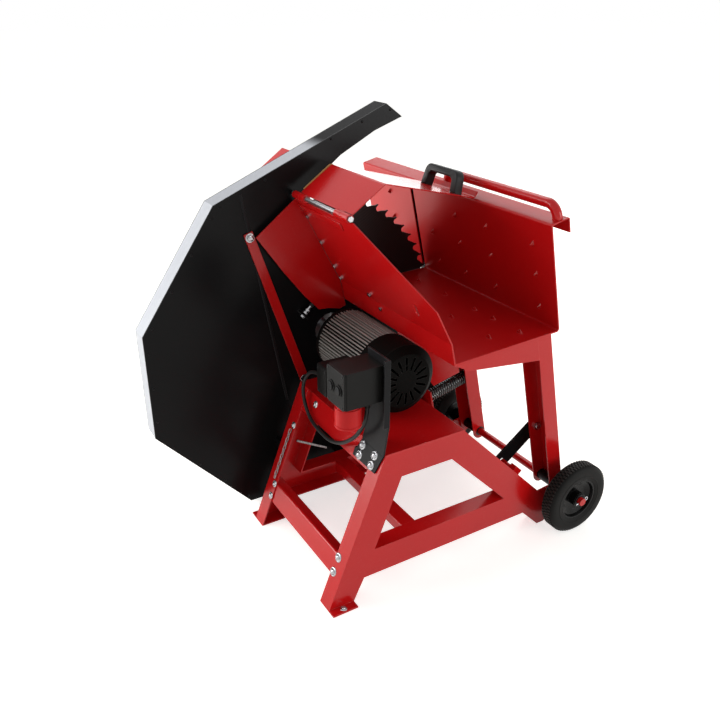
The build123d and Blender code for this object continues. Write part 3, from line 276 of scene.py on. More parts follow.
def baked_paint(name, dark, light, dust, fold_highlight_colour, rough, peel, depth, fold, shine=0.5):
    """Powder coat: a colour that mottles slightly, fine peel in its gloss, specks of dust and painted fold
    highlights.
    """
    material, nodes, links, skin = new_material(name, shine)
    coat = place_group(nodes, coat_group, {"Peel Scale": peel, "Dust": 0.12})
    colour = mix_colours(nodes, links, coat["Mottle"], dark, light)
    colour = mix_colours(nodes, links, coat["Dust Mask"], colour, dust)
    finish_skin(
        nodes, links, skin, colour, fold_highlight=fold_highlight_colour, fold=fold, gloss=(coat["Mottle"], *rough),
        relief=(coat["Height"], depth, 0.35),
    )
    return material


def dress(material, *names):
    """Give CAD nodes a finish."""
    for name in names:
        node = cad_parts[name]
        node.data.materials.clear()
        node.data.materials.append(material)


red_paint = baked_paint(
    "red_powder_coat", dark=(0.48, 0.004, 0.005), light=(0.58, 0.007, 0.008), dust=(0.5, 0.12, 0.11),
    fold_highlight_colour=(0.66, 0.05, 0.045), rough=(0.15, 0.24), peel=520, depth=0.0002, fold=0.0008, shine=0.3,
)
dress(
    red_paint, "side_frame_near", "side_frame_far", "deck", "left_cross_rail", "middle_cross_bar",
    "axle_brackets", "lock_stud", "spring_seat", "guard_brace", "axle",
)

# Bolts of the frame: domed bolts on plain washers, bright zinc plated.
# They hold the switch bracket, the rails, the deck's edge and the chain, and one stands in each foot.
LEG_FOOT_Y = -0.280
LEG_RUN = 0.143
LEG_RISE = 0.362
BRACKET_SHEET = 0.004
FOOT_Y = -0.248
FOOT_SHEET = 0.004
DOME_HEAD = [
    (0, 0.0062), (0.0030, 0.0058), (0.0052, 0.0046), (0.0066, 0.0026), (0.0071, 0.0008), (0.0079, 0.0008),
    (0.0083, 0.0024), (0.0093, 0.0021), (0.0105, 0.0013), (0.0112, 0.0004), (0.0112, 0), (0, 0),
]
SMALL_HEAD = [(radius * 0.82, height * 0.82) for radius, height in DOME_HEAD]
FOOT_HEAD = [(radius * 0.7, height * 0.7) for radius, height in DOME_HEAD]
zinc_group, nodes, links, given, result = shader_group(
    "zinc_flow", {"Grain Scale": 300.0}, {"Height": "NodeSocketFloat", "Bloom": "NodeSocketFloat"}
)
zinc_grain = pattern(nodes, links, "ShaderNodeTexNoise", Scale=given["Grain Scale"], Detail=3)
bloom = pattern(nodes, links, "ShaderNodeTexVoronoi", Scale=240)
links.new(zinc_grain["Fac"], result["Height"])
links.new(bloom["Distance"], result["Bloom"])


def bare_metal(name, dark, light, rough, grain, depth):
    """Metal with a fine grain, blooms of lighter and darker tone, and a painted highlight on its edges."""
    material, nodes, links, skin = new_material(name)
    skin["Metallic"].default_value = 1
    flow = place_group(nodes, zinc_group, {"Grain Scale": grain})
    colour = mix_colours(nodes, links, flow["Bloom"], dark, light)
    fold_highlight = tuple(min(1.0, 1.15 * part) for part in light)
    finish_skin(
        nodes, links, skin, colour, fold_highlight=fold_highlight, fold=0.0006, gloss=(flow["Height"], *rough),
        relief=(flow["Height"], depth, 0.4),
    )
    return material


def finish_piece(bm, name, material, body):
    """Close a bmesh into a smooth-shaded piece that rides on a body. Edges over 35 degrees stay sharp."""
    bmesh.ops.remove_doubles(bm, verts=bm.verts, dist=0.00002)
    bmesh.ops.recalc_face_normals(bm, faces=bm.faces)
    data = bpy.data.meshes.new(name)
    for face in bm.faces:
        face.smooth = True
    bm.to_mesh(data)
    bm.free()
    data.set_sharp_from_angle(angle=math.radians(35))
    data.materials.append(material)
    piece = put(name, data)
    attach(piece, body)
    return piece


def turned(bm, profile, foot, axis, steps, ring=False):
    """Spin a profile of (radius, height) points round an axis through its foot. A ring's is closed."""
    axis = Vector(axis).normalized()
    side = axis.orthogonal().normalized()
    verts = [bm.verts.new(Vector(foot) + side * radius + axis * height) for radius, height in profile]
    edges = [bm.edges.new(pair) for pair in zip(verts, verts[1:] + verts[:1] if ring else verts[1:])]
    bmesh.ops.spin(
        bm, geom=verts + edges, cent=foot, axis=axis, angle=2 * math.pi, steps=steps, use_merge=True,
        dvec=(0, 0, 0),
    )


def leg_point(x, z):
    """A point on the outer face of a leaning leg."""
    return Vector((x, LEG_FOOT_Y + LEG_RUN * z / LEG_RISE, z))


zinc = bare_metal(
    "bright_zinc", dark=(0.32, 0.32, 0.33), light=(0.50, 0.50, 0.52), rough=(0.16, 0.32), grain=300,
    depth=0.0001,
)
leg_out = Vector((0, -LEG_RISE, LEG_RUN)).normalized()
bolts = bmesh.new()
for x, z in ((0.249, 0.3505), (0.249, 0.328), (0.299, 0.3505), (0.298, 0.328)):
    turned(bolts, DOME_HEAD, leg_point(x, z) + leg_out * BRACKET_SHEET, leg_out, steps=24)
for x, z in ((0.297, 0.112), (0.297, 0.078)):
    turned(bolts, DOME_HEAD, leg_point(x, z), leg_out, steps=24)
for x, z in ((-0.036, 0.112), (-0.036, 0.080), (-0.038, 0.266), (0.024, 0.346)):
    turned(bolts, SMALL_HEAD, leg_point(x, z), leg_out, steps=24)
for x in (0.3405, -0.0805):
    turned(bolts, FOOT_HEAD, (x, FOOT_Y, FOOT_SHEET), (0, 0, 1), steps=20)
frame_bolts = finish_piece(bolts, "frame_bolt_heads", zinc, "base")
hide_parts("frame_bolts")

# Wheel fixings: spacers and washers of black steel on the axle, and a bright split pin through each end.
# The pin lies nearly level, with its round eye at the rear.
AXLE = Vector((0, 0.404, 0.095))
AXLE_R = 0.010
PIN_RISE = math.radians(14)
PIN_EYE_OUT = 0.016
PIN_SHANK = [
    (0, -0.0182), (0.0012, -0.0182), (0.0018, -0.0174), (0.0018, 0.0112), (0.0012, 0.0120), (0, 0.0120),
]
PIN_EYE = [
    (0.0043 + 0.0016 * math.cos(step * math.pi / 4), 0.0013 * math.sin(step * math.pi / 4))
    for step in range(8)
]
steel = bare_metal(
    "turned_steel", dark=(0.28, 0.28, 0.29), light=(0.42, 0.42, 0.43), rough=(0.24, 0.42), grain=700,
    depth=0.00008,
)
dress(steel, "motor_shaft", "motor_bearings")
dark_steel = bare_metal(
    "blacked_steel", dark=(0.018, 0.018, 0.019), light=(0.034, 0.034, 0.036), rough=(0.30, 0.46), grain=500,
    depth=0.0001,
)
dress(dark_steel, "pivot_bushes")


def washer(inner, outer, thick):
    """The closed profile of a washer with broken edges."""
    nick = 0.0004
    return [
        (inner, 0), (inner, thick), (outer - nick, thick), (outer, thick - nick), (outer, nick),
        (outer - nick, 0),
    ]


SPACER = washer(inner=AXLE_R, outer=0.015, thick=0.0286)
WHEEL_WASHER = washer(inner=AXLE_R, outer=0.016, thick=0.002)
rings = bmesh.new()
for x, turn, profile in (
    (0.328, 1, SPACER), (-0.068, -1, SPACER), (0.3994, 1, WHEEL_WASHER), (-0.1394, -1, WHEEL_WASHER),
):
    turned(rings, profile, AXLE + Vector((x, 0, 0)), (turn, 0, 0), steps=32, ring=True)
wheel_washers = finish_piece(rings, "wheel_washers", dark_steel, "base")
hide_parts("axle_hardware")

pin_way = Vector((0, math.cos(PIN_RISE), math.sin(PIN_RISE)))
pins = bmesh.new()
for x in (0.406, -0.146):
    heart = AXLE + Vector((x, 0, 0))
    turned(pins, PIN_SHANK, heart, pin_way, steps=12)
    turned(pins, PIN_EYE, heart + pin_way * PIN_EYE_OUT, (1, 0, 0), steps=24, ring=True)
finish_piece(pins, "split_pins", zinc, "base")

# Wheels: solid black rubber tyres with rows of short cross ribs, on dished rims of black plastic.
# Each tyre has a thin raised bead on its outer wall, where it meets the rim.
TYRE_WALL = [
    (0.055, 0.004), (0.060, 0.0015), (0.066, 0.0005), (0.074, 0.0003), (0.083, 0.0006), (0.0885, 0.0024),
    (0.0915, 0.006), (0.0924, 0.0095), (0.0924, 0.0325), (0.0915, 0.036), (0.0885, 0.0396), (0.083, 0.0414),
    (0.074, 0.0417), (0.0672, 0.0413), (0.0666, 0.0419), (0.0654, 0.0419), (0.0648, 0.0411), (0.060, 0.0405),
    (0.055, 0.038),
]
RIBS = 66
RIB_ROWS = (0.0118, 0.0210, 0.0302)
RIB_RADIUS = 0.0932
RIB_SIZE = (0.0084, 0.0046, 0.0030)
grain_group, nodes, links, given, result = shader_group(
    "mould_grain", {"Grain Scale": 1200.0}, {"Height": "NodeSocketFloat", "Tone": "NodeSocketFloat"}
)
pits = pattern(nodes, links, "ShaderNodeTexVoronoi", Scale=given["Grain Scale"])
tone = pattern(nodes, links, "ShaderNodeTexNoise", Scale=30, Detail=5)
links.new(pits["Distance"], result["Height"])
links.new(tone["Fac"], result["Tone"])


def moulded(name, dark, light, rough, grain, depth, edge, shine=0.5):
    """Moulded plastic or rubber: a grained skin, with a tone that drifts and a painted highlight on its
    edges.
    """
    material, nodes, links, skin = new_material(name, shine)
    mould = place_group(nodes, grain_group, {"Grain Scale": grain})
    colour = mix_colours(nodes, links, mould["Tone"], dark, light)
    edge_highlight = tuple(1.5 * part + 0.004 for part in light)
    finish_skin(
        nodes, links, skin, colour, fold_highlight=edge_highlight, fold=edge, gloss=(mould["Tone"], *rough),
        relief=(mould["Height"], depth, 0.5),
    )
    return material


gap_group, nodes, links, given, result = shader_group(
    "shade_in_gaps", {"Centre": (0, 0, 0), "Clear Radius": 0.1, "Dark Radius": 0.09},
    {"Shade": "NodeSocketFloat"},
)
coords = nodes.new("ShaderNodeTexCoord")
shift = nodes.new("ShaderNodeVectorMath")
shift.operation = "SUBTRACT"
links.new(coords.outputs["Object"], shift.inputs[0])
links.new(given["Centre"], shift.inputs[1])
across = nodes.new("ShaderNodeVectorMath")
across.operation = "MULTIPLY"
across.inputs[1].default_value = (0, 1, 1)
links.new(shift.outputs["Vector"], across.inputs[0])
radius = nodes.new("ShaderNodeVectorMath")
radius.operation = "LENGTH"
links.new(across.outputs["Vector"], radius.inputs[0])
shade = remap(nodes, links, radius.outputs["Value"], given["Clear Radius"], given["Dark Radius"])
links.new(shade, result["Shade"])


def paint_shade_inward(material, centre, dark_radius, clear_radius, dark):
    """Darken a material near a line along X through a centre: painted shade for the deep part of a gap."""
    nodes, links = material.node_tree.nodes, material.node_tree.links
    gap = place_group(
        nodes, gap_group, {"Centre": centre, "Clear Radius": clear_radius, "Dark Radius": dark_radius}
    )
    base = nodes["Principled BSDF"].inputs["Base Color"]
    links.new(mix_colours(nodes, links, gap["Shade"], base.links[0].from_socket, dark), base)


tyre_rubber = moulded(
    "tyre_rubber", dark=(0.016, 0.015, 0.014), light=(0.026, 0.0245, 0.023), rough=(0.52, 0.66), grain=700,
    depth=0.0002, edge=0.001, shine=0.12,
)
# Painted shade darkens all of the tyre below the tops of its ribs, so the gaps between them read dark.
paint_shade_inward(tyre_rubber, AXLE, dark_radius=0.0928, clear_radius=0.0942, dark=(0.0045, 0.0042, 0.0038))
for side, inner, turn in (("near", 0.357, 1), ("far", -0.097, -1)):
    tyre = bmesh.new()
    turned(tyre, TYRE_WALL, AXLE + Vector((inner, 0, 0)), (turn, 0, 0), steps=96, ring=True)
    for row, reach in enumerate(RIB_ROWS):
        middle = Matrix.Translation(AXLE + Vector((inner + turn * reach, 0, 0)))
        for rib in range(RIBS):
            spin = Matrix.Rotation((rib + 0.5 * (row % 2)) * 2 * math.pi / RIBS, 4, "X")
            rib_place = middle @ spin @ Matrix.Translation((0, 0, RIB_RADIUS))
            bmesh.ops.create_cube(tyre, size=1, matrix=rib_place @ Matrix.Diagonal((*RIB_SIZE, 1)))
    tyre_piece = finish_piece(tyre, f"ribbed_tyre_{side}", tyre_rubber, f"wheel_{side}")
    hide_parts(f"tyre_{side}")
rim_black = moulded(
    "rim_moulding", dark=(0.0028, 0.0028, 0.0027), light=(0.0050, 0.0050, 0.0048), rough=(0.20, 0.32),
    grain=1300, depth=0.0001, edge=0.0012, shine=0.12,
)
dress(rim_black, "rim_near", "rim_far")

# Motor: a cast aluminium housing with long fins, painted a warm grey, between two end shields on its feet.
# The castings are slightly rough, and painted shade darkens the fins toward their roots.
MOTOR = Vector((0, -0.015, 0.462))
FINS = 32
FIN_MIDDLE = MOTOR + Vector((0.0425, 0, 0))
FIN_RADIUS = 0.0703
FIN_SIZE = (0.1746, 0.0186, 0.0022)
motor_grey = baked_paint(
    "motor_grey", dark=(0.22, 0.207, 0.192), light=(0.31, 0.291, 0.271), dust=(0.34, 0.31, 0.28),
    fold_highlight_colour=(0.50, 0.48, 0.45), rough=(0.34, 0.48), peel=900, depth=0.0004, fold=0.0007,
)
# Painted shade: the housing darkens toward the motor's axis, between the fins.
paint_shade_inward(motor_grey, MOTOR, dark_radius=0.064, clear_radius=0.0795, dark=(0.022, 0.019, 0.017))
dress(motor_grey, "motor_housing", "rear_end_shield")


def soften(bm, geom, offset, segments, affect="EDGES"):
    """Round off edges or corners."""
    bmesh.ops.bevel(
        bm, geom=geom, offset=offset, offset_type="OFFSET", segments=segments, profile=0.5, affect=affect,
        material=-1,
    )


def edges_at(verts):
    """The edges that meet at some vertices, each once."""
    return list({edge for vert in verts for edge in vert.link_edges})


def slab(bm, middle, along, rise, size, nick):
    """A flat bar or plate with broken edges, set by its middle and the way of its length and its height."""
    along = Vector(along).normalized()
    rise = Vector(rise).normalized()
    set_up = Matrix((along, rise, along.cross(rise))).transposed().to_4x4()
    made = bmesh.ops.create_cube(
        bm, size=1, matrix=Matrix.Translation(middle) @ set_up @ Matrix.Diagonal((*size, 1))
    )
    soften(bm, edges_at(made["verts"]), offset=nick, segments=2)


thin_fins = bmesh.new()
for count in range(FINS):
    turn = 2 * math.pi * (count + 0.5) / FINS
    fin_out = Vector((0, math.cos(turn), math.sin(turn)))
    slab(thin_fins, FIN_MIDDLE + fin_out * FIN_RADIUS, (1, 0, 0), fin_out, FIN_SIZE, nick=0.0006)
finish_piece(thin_fins, "thin_motor_fins", motor_grey, "base")
core_iron = bare_metal(
    "core_iron", dark=(0.16, 0.15, 0.15), light=(0.24, 0.23, 0.22), rough=(0.45, 0.6), grain=900, depth=0.0002
)
dress(core_iron, "stator", "rotor_core")

# Fan cover, motor feet and drive end shield: a pressed cap and castings in a dull black crackle coat.
# A pale painted highlight lies along the cap's edges.
crackle = baked_paint(
    "dull_black_crackle", dark=(0.0024, 0.0024, 0.0022), light=(0.0052, 0.0050, 0.0045),
    dust=(0.04, 0.037, 0.032), fold_highlight_colour=(0.06, 0.06, 0.057), rough=(0.46, 0.62), peel=1500, depth=0.0005,
    fold=0.0012, shine=0.03,
)
dress(crackle, "fan_cover", "motor_feet", "drive_end_shield")

# Terminal box cover: a flat plastic lid with broken edges, held by four screws on the box's outer side.
# The screws are small pan heads of blacked steel, and the box is moulded in the same plastic as the lid.
LID_MIDDLE = (0.10775, -0.1686, 0.454)
LID_SIZE = (0.0425, 0.068, 0.0016)
LID_FACE = -0.1694
PAN_HEAD = [(0, 0.0016), (0.0012, 0.0015), (0.0022, 0.0010), (0.0026, 0.0003), (0.0026, 0), (0, 0)]
black_plastic = moulded(
    "black_moulding", dark=(0.0060, 0.0060, 0.0058), light=(0.011, 0.0105, 0.010), rough=(0.36, 0.48),
    grain=1300, depth=0.00012, edge=0.0012, shine=0.1,
)
dress(black_plastic, "terminal_box", "switch_box", "cable_glands", "cooling_fan")
box_lid = bmesh.new()
slab(box_lid, LID_MIDDLE, (1, 0, 0), (0, 0, 1), LID_SIZE, nick=0.0005)
finish_piece(box_lid, "terminal_lid", black_plastic, "base")
lid_screws = bmesh.new()
for x in (0.0915, 0.1240):
    for z in (0.426, 0.482):
        turned(lid_screws, PAN_HEAD, (x, LID_FACE, z), (0, -1, 0), steps=12)
finish_piece(lid_screws, "terminal_screws", dark_steel, "base")

# Blade: a laser-cut steel plate with hooked teeth, darkened by its heat treatment, between two steel flanges.
# It is ground in rings round its centre.
BLADE_MIDDLE = Vector((-0.1745, MOTOR.y, MOTOR.z))
blade_steel, nodes, links, skin = new_material("dark_blade_steel")
skin["Metallic"].default_value = 0.85
coords = nodes.new("ShaderNodeTexCoord")
centre = nodes.new("ShaderNodeMapping")
centre.inputs["Location"].default_value = -BLADE_MIDDLE
links.new(coords.outputs["Object"], centre.inputs["Vector"])
ground = nodes.new("ShaderNodeTexWave")
ground.wave_type = "RINGS"
ground.rings_direction = "X"
ground.inputs["Scale"].default_value = 90
ground.inputs["Distortion"].default_value = 1.5
ground.inputs["Detail"].default_value = 3
links.new(centre.outputs["Vector"], ground.inputs["Vector"])
grind = ground.outputs["Fac"]
blade_tone = mix_colours(nodes, links, grind, (0.022, 0.020, 0.020), (0.050, 0.047, 0.046))
# A paler painted highlight lies along the blade's edges.
finish_skin(
    nodes, links, skin, blade_tone, fold_highlight=(0.16, 0.155, 0.15), fold=0.0006, gloss=(grind, 0.34, 0.48),
    relief=(grind, 0.0001, 0.3),
)
dress(blade_steel, "saw_blade")
dress(steel, "blade_clamp")

# Guard plates: two black sheets with a powder coat, one each side of the blade.
# Their spacers, the slot cover and the transport bar have the same coat.
# On the spacers, which sit in the guard's shadow, the black is painted shade.
# The switch bracket has a slightly greyer one, and so does the lap seam down the near plate.
SEAM_TOP = Vector((-0.1294, -0.241, 0.838))
SEAM_FOOT = Vector((-0.1294, -0.147, 0.289))
SEAM_WIDTH = 0.007
SEAM_THICK = 0.0016
black_paint = baked_paint(
    "black_powder_coat", dark=(0.0050, 0.0050, 0.0055), light=(0.0085, 0.0085, 0.0090),
    dust=(0.02, 0.02, 0.02), fold_highlight_colour=(0.07, 0.07, 0.072), rough=(0.20, 0.30), peel=520, depth=0.0002,
    fold=0.0012, shine=0.08,
)
dress(black_paint, "guard_near_plate", "guard_far_plate", "guard_spacers", "slot_cover", "transport_bar")
bracket_paint = baked_paint(
    "grey_black_coat", dark=(0.0080, 0.0078, 0.0085), light=(0.014, 0.0135, 0.0148), dust=(0.03, 0.03, 0.03),
    fold_highlight_colour=(0.07, 0.07, 0.074), rough=(0.30, 0.42), peel=520, depth=0.0002, fold=0.0012, shine=0.08,
)
dress(bracket_paint, "switch_bracket")
seam_way = SEAM_FOOT - SEAM_TOP
seam = bmesh.new()
slab(
    seam, (SEAM_TOP + SEAM_FOOT) / 2, seam_way, seam_way.cross(Vector((1, 0, 0))),
    (seam_way.length, SEAM_WIDTH, SEAM_THICK), nick=0.0006,
)
finish_piece(seam, "guard_lap_seam", bracket_paint, "base")

# Guard rim: a strip of sheet bent round the plates' outer edge, with a row of rivets along each plate.
# Its outer sides are painted pale, a painted reflection of bright light on its black gloss.
# Over the arm the painted reflection fades with a soft edge into the plates' black, and its folds carry a
# painted highlight.
REFLECTION_FADE_START = -0.065
REFLECTION_FADE_END = -0.018
NEAR_RIVET_X = -0.130
FAR_RIVET_X = -0.186
RIVET = [(0, 0.0019), (0.0014, 0.0017), (0.0026, 0.0011), (0.0034, 0.0002), (0.0034, 0), (0, 0)]
RIVET_PLACES = (
    (0.158, 0.996), (0.079, 0.9738), (-0.0055, 0.9408), (-0.090, 0.9037), (-0.178, 0.8645), (-0.2926, 0.8170),
    (-0.3134, 0.7940), (-0.367, 0.717), (-0.421, 0.639), (-0.475, 0.561), (-0.488, 0.500), (-0.488, 0.411),
    (-0.488, 0.322), (-0.458, 0.242), (-0.396, 0.171), (-0.334, 0.101), (-0.272, 0.032), (-0.160, 0.024),
    (-0.040, 0.024), (0.080, 0.024), (0.190, 0.024), (0.245, 0.088), (0.300, 0.159), (0.334, 0.230),
    (0.334, 0.330), (0.334, 0.430), (0.334, 0.515),
)
rim_reflection_paint, nodes, links, skin = new_material("rim_painted_reflection", shine=0.03)
flow = place_group(nodes, zinc_group, {"Grain Scale": 160})
coords = nodes.new("ShaderNodeTexCoord")
along_rim = nodes.new("ShaderNodeSeparateXYZ")
links.new(coords.outputs["Object"], along_rim.inputs["Vector"])
reflection_fade = remap(nodes, links, along_rim.outputs["Y"], REFLECTION_FADE_START, REFLECTION_FADE_END, shape="SMOOTHSTEP")
painted_reflection = mix_colours(nodes, links, flow["Bloom"], (0.46, 0.475, 0.51), (0.51, 0.525, 0.56))
reflection_over_black = mix_colours(nodes, links, reflection_fade, painted_reflection, (0.006, 0.006, 0.0065))
finish_skin(
    nodes, links, skin, reflection_over_black, fold_highlight=(0.47, 0.48, 0.51), fold=0.001, gloss=(flow["Height"], 0.36, 0.50),
    relief=(flow["Height"], 0.0001, 0.3),
)
reflection_share = maths(nodes, links, "SUBTRACT", 1, reflection_fade)
links.new(maths(nodes, links, "MULTIPLY", reflection_share, 0.05), skin["Metallic"])
dress(rim_reflection_paint, "guard_rim")
rivets = bmesh.new()
for y, z in RIVET_PLACES:
    turned(rivets, RIVET, (NEAR_RIVET_X, y, z), (1, 0, 0), steps=12)
    turned(rivets, RIVET, (FAR_RIVET_X, y, z), (-1, 0, 0), steps=12)
finish_piece(rivets, "rim_rivets", bracket_paint, "base")

# Brace fixings: a washer, a nut and a bolt's end at each end of the red brace bar, all zinc plated.
# The stop bolt and the bolts of the rocker have the same plating, and the hinge rod is plain steel.
BRACE_FACE = -0.125
BOLT_END = [(0, 0.0090), (0.0034, 0.0090), (0.0040, 0.0084), (0.0040, 0), (0, 0)]
NUT_R = 0.0082
NUT_THICK = 0.0052
NUT_MIDDLE = Vector((0.0040, 0, 0))
BRACE_WASHER = washer(inner=0.0042, outer=0.0112, thick=0.0014)
dress(zinc, "stop_bolt", "rocker_bolts")
dress(steel, "hinge_rod")
brace_fixings = bmesh.new()
for y, z in ((-0.2255, 0.737), (-0.097, 0.341)):
    foot = Vector((BRACE_FACE, y, z))
    turned(brace_fixings, BRACE_WASHER, foot, (1, 0, 0), steps=28, ring=True)
    nut = bmesh.ops.create_cone(
        brace_fixings, cap_ends=True, segments=6, radius1=NUT_R, radius2=NUT_R, depth=NUT_THICK,
        matrix=Matrix.Translation(foot + NUT_MIDDLE) @ Matrix.Rotation(math.pi / 2, 4, "Y"),
    )
    soften(brace_fixings, edges_at(nut["verts"]), offset=0.0006, segments=2)
    turned(brace_fixings, BOLT_END, foot, (1, 0, 0), steps=16)
finish_piece(brace_fixings, "brace_fixings", zinc, "base")

# Chain: small welded links of plated wire on the far left leg, with the pin that it keeps from getting lost.
# The plating has gone dull in the links.
chain_wire = bare_metal(
    "dull_chain_wire", dark=(0.16, 0.155, 0.15), light=(0.40, 0.40, 0.40), rough=(0.22, 0.40), grain=500,
    depth=0.0001,
)
dress(chain_wire, "chain")

# Switch lid: a moulded plate with a pattern of raised dots, held by four screws.
# Its two buttons are dark grey and travel through black collars.
SWITCH_FACE = -0.237
BUTTON_Z = 0.5385
COLLAR = washer(inner=0.0098, outer=0.0128, thick=0.0024)
dotted, nodes, links, skin = new_material("dotted_grey_moulding", shine=0.12)
dots = pattern(nodes, links, "ShaderNodeTexVoronoi", Scale=400, Randomness=0)
dot = remap(nodes, links, dots["Distance"], start=0.42, end=0.28)
lid_tone = mix_colours(nodes, links, dot, (0.004, 0.004, 0.0038), (0.034, 0.033, 0.032))
# A paler painted highlight lies along the lid's edges.
finish_skin(
    nodes, links, skin, lid_tone, fold_highlight=(0.09, 0.09, 0.085), fold=0.0012, gloss=(dot, 0.55, 0.40),
    relief=(dot, 0.0003, 0.5),
)
dress(dotted, "switch_lid")
button_grey = moulded(
    "dark_button_grey", dark=(0.0055, 0.0055, 0.006), light=(0.0095, 0.0095, 0.010), rough=(0.34, 0.44),
    grain=1600, depth=0.00006, edge=0.0012, shine=0.15,
)
dress(button_grey, "stop_button", "start_button")
collars = bmesh.new()
for x in (0.280, 0.310):
    turned(collars, COLLAR, (x, SWITCH_FACE, BUTTON_Z), (0, -1, 0), steps=36, ring=True)
finish_piece(collars, "button_collars", black_plastic, "base")
switch_screws = bmesh.new()
for x in (0.2668, 0.3232):
    for z in (0.5038, 0.5732):
        turned(switch_screws, PAN_HEAD, (x, SWITCH_FACE, z), (0, -1, 0), steps=12)
finish_piece(switch_screws, "switch_screws", dark_steel, "base")

# Power inlet: a red moulded plug socket under the switch box, with a shallow grip ring near its mouth.
# Its plastic has a satin skin.
GRIP_TOP = (0.290, -0.205, 0.4465)
GRIP_RING = washer(inner=0.0279, outer=0.0292, thick=0.004)
inlet_red = moulded(
    "inlet_red", dark=(0.46, 0.014, 0.016), light=(0.58, 0.020, 0.020), rough=(0.30, 0.40), grain=1600,
    depth=0.00005, edge=0.0012, shine=0.12,
)
dress(inlet_red, "power_inlet")
grip = bmesh.new()
turned(grip, GRIP_RING, GRIP_TOP, (0, 0, -1), steps=48, ring=True)
finish_piece(grip, "inlet_grip_ring", inlet_red, "base")

# Motor cable: black rubber-sheathed cable from the switch box to the terminal box.
# It hangs in a wide loop beside the deck, held only by its two glands.
rubber = moulded(
    "black_rubber", dark=(0.0060, 0.0064, 0.0060), light=(0.010, 0.0105, 0.010), rough=(0.42, 0.56),
    grain=900, depth=0.0001, edge=0.0008, shine=0.25,
)
dress(rubber, "stop_pad")
cable_points = [
    (0.300, -0.165, 0.4755), (0.298, -0.166, 0.446), (0.284, -0.167, 0.420), (0.256, -0.168, 0.381),
    (0.200, -0.169, 0.336), (0.141, -0.169, 0.312), (0.082, -0.168, 0.312), (0.034, -0.164, 0.318),
    (0.004, -0.160, 0.336), (-0.013, -0.158, 0.364), (-0.012, -0.156, 0.394), (0.006, -0.153, 0.424),
    (0.030, -0.151, 0.441), (0.062, -0.150, 0.4465),
]
cable_data = bpy.data.curves.new("motor_cable_loop", "CURVE")
cable_data.dimensions = "3D"
cable_data.resolution_u = 12
cable_data.bevel_depth = 0.0045
cable_data.bevel_resolution = 5
cable_data.use_fill_caps = True
cable_line = cable_data.splines.new("NURBS")
cable_line.points.add(len(cable_points) - 1)
for point, spot in zip(cable_line.points, cable_points):
    point.co = (*spot, 1)
cable_line.order_u = 3
cable_line.use_endpoint_u = True
cable_data.materials.append(rubber)
cable = put("motor_cable_loop", cable_data)
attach(cable, "base")
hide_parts("motor_cable")

# Rocker: the trough, its walls, shield, legs, gussets and push handle, bent sheet and tube in the red coat.
# Teeth pressed out of the back plate and the floor keep a log from turning.
TILT = math.radians(12.9)
BACK_Y = 0.0115
BACK_FOOT_Z = 0.478
FLOOR_FRONT_Y = -0.272
FLOOR_FRONT_Z = 0.529
BACK_TEETH = (
    (0.676, (-0.286, 0.008, 0.128, 0.287)), (0.603, (-0.284, -0.101, 0.016, 0.136, 0.291)),
    (0.521, (-0.284, -0.088, 0.024, 0.142, 0.294)),
)
FLOOR_TEETH = (
    (-0.065, (-0.088, 0.028, 0.147, 0.216, 0.308)), (-0.137, (-0.060, 0.040, 0.152, 0.290)),
)
TOOTH_HALF = 0.0088
TOOTH_TIP = 0.0008
TOOTH_RISE = 0.0085
TOOTH_MIDDLE = 0.0042
TOOTH_FLAT = 0.30
BACK_TOOTH_LEAN = Vector((0.25, 0, 0))
FLOOR_TOOTH_WAY = (1, 0.2, 0)
trough_paint = baked_paint(
    "red_coat_in_trough", dark=(0.46, 0.004, 0.005), light=(0.56, 0.007, 0.008), dust=(0.5, 0.12, 0.11),
    fold_highlight_colour=(0.62, 0.04, 0.036), rough=(0.26, 0.36), peel=520, depth=0.0002, fold=0.0002, shine=0.25,
)
dress(trough_paint, "trough")
dress(
    red_paint, "left_walls", "near_shield", "under_panels", "rocker_leg_near", "rocker_leg_far",
    "push_handle", "flap_sheet",
)
rocker_along = Vector((0, math.cos(TILT), math.sin(TILT)))
rocker_up = Vector((0, -math.sin(TILT), math.cos(TILT)))


def rocker_point(x, y, z):
    """A point of the upright rocker, in the machine's frame."""
    return AXLE + Vector((x, 0, 0)) + rocker_along * y + rocker_up * z


def pressed_tooth(bm, foot, out, length):
    """A thin pointed tooth that stands out of a sheet, with its long side along the given direction."""
    out = Vector(out).normalized()
    length = Vector(length).normalized()
    set_up = Matrix((length, out.cross(length), out)).transposed().to_4x4()
    flatten = Matrix.Diagonal((1, TOOTH_FLAT, 1, 1))
    bmesh.ops.create_cone(
        bm, cap_ends=True, segments=8, radius1=TOOTH_HALF, radius2=TOOTH_TIP, depth=TOOTH_RISE,
        matrix=Matrix.Translation(foot + out * TOOTH_MIDDLE) @ set_up @ flatten,
    )


teeth = bmesh.new()
for z, columns in BACK_TEETH:
    for x in columns:
        pressed_tooth(teeth, rocker_point(x, BACK_Y, z), -rocker_along, rocker_up + BACK_TOOTH_LEAN)
floor_slope = (FLOOR_FRONT_Z - BACK_FOOT_Z) / (BACK_Y - FLOOR_FRONT_Y)
floor_up = (rocker_up + rocker_along * floor_slope).normalized()
for y, columns in FLOOR_TEETH:
    for x in columns:
        tooth_foot = rocker_point(x, y, BACK_FOOT_Z + (BACK_Y - y) * floor_slope)
        pressed_tooth(teeth, tooth_foot, floor_up, FLOOR_TOOTH_WAY)
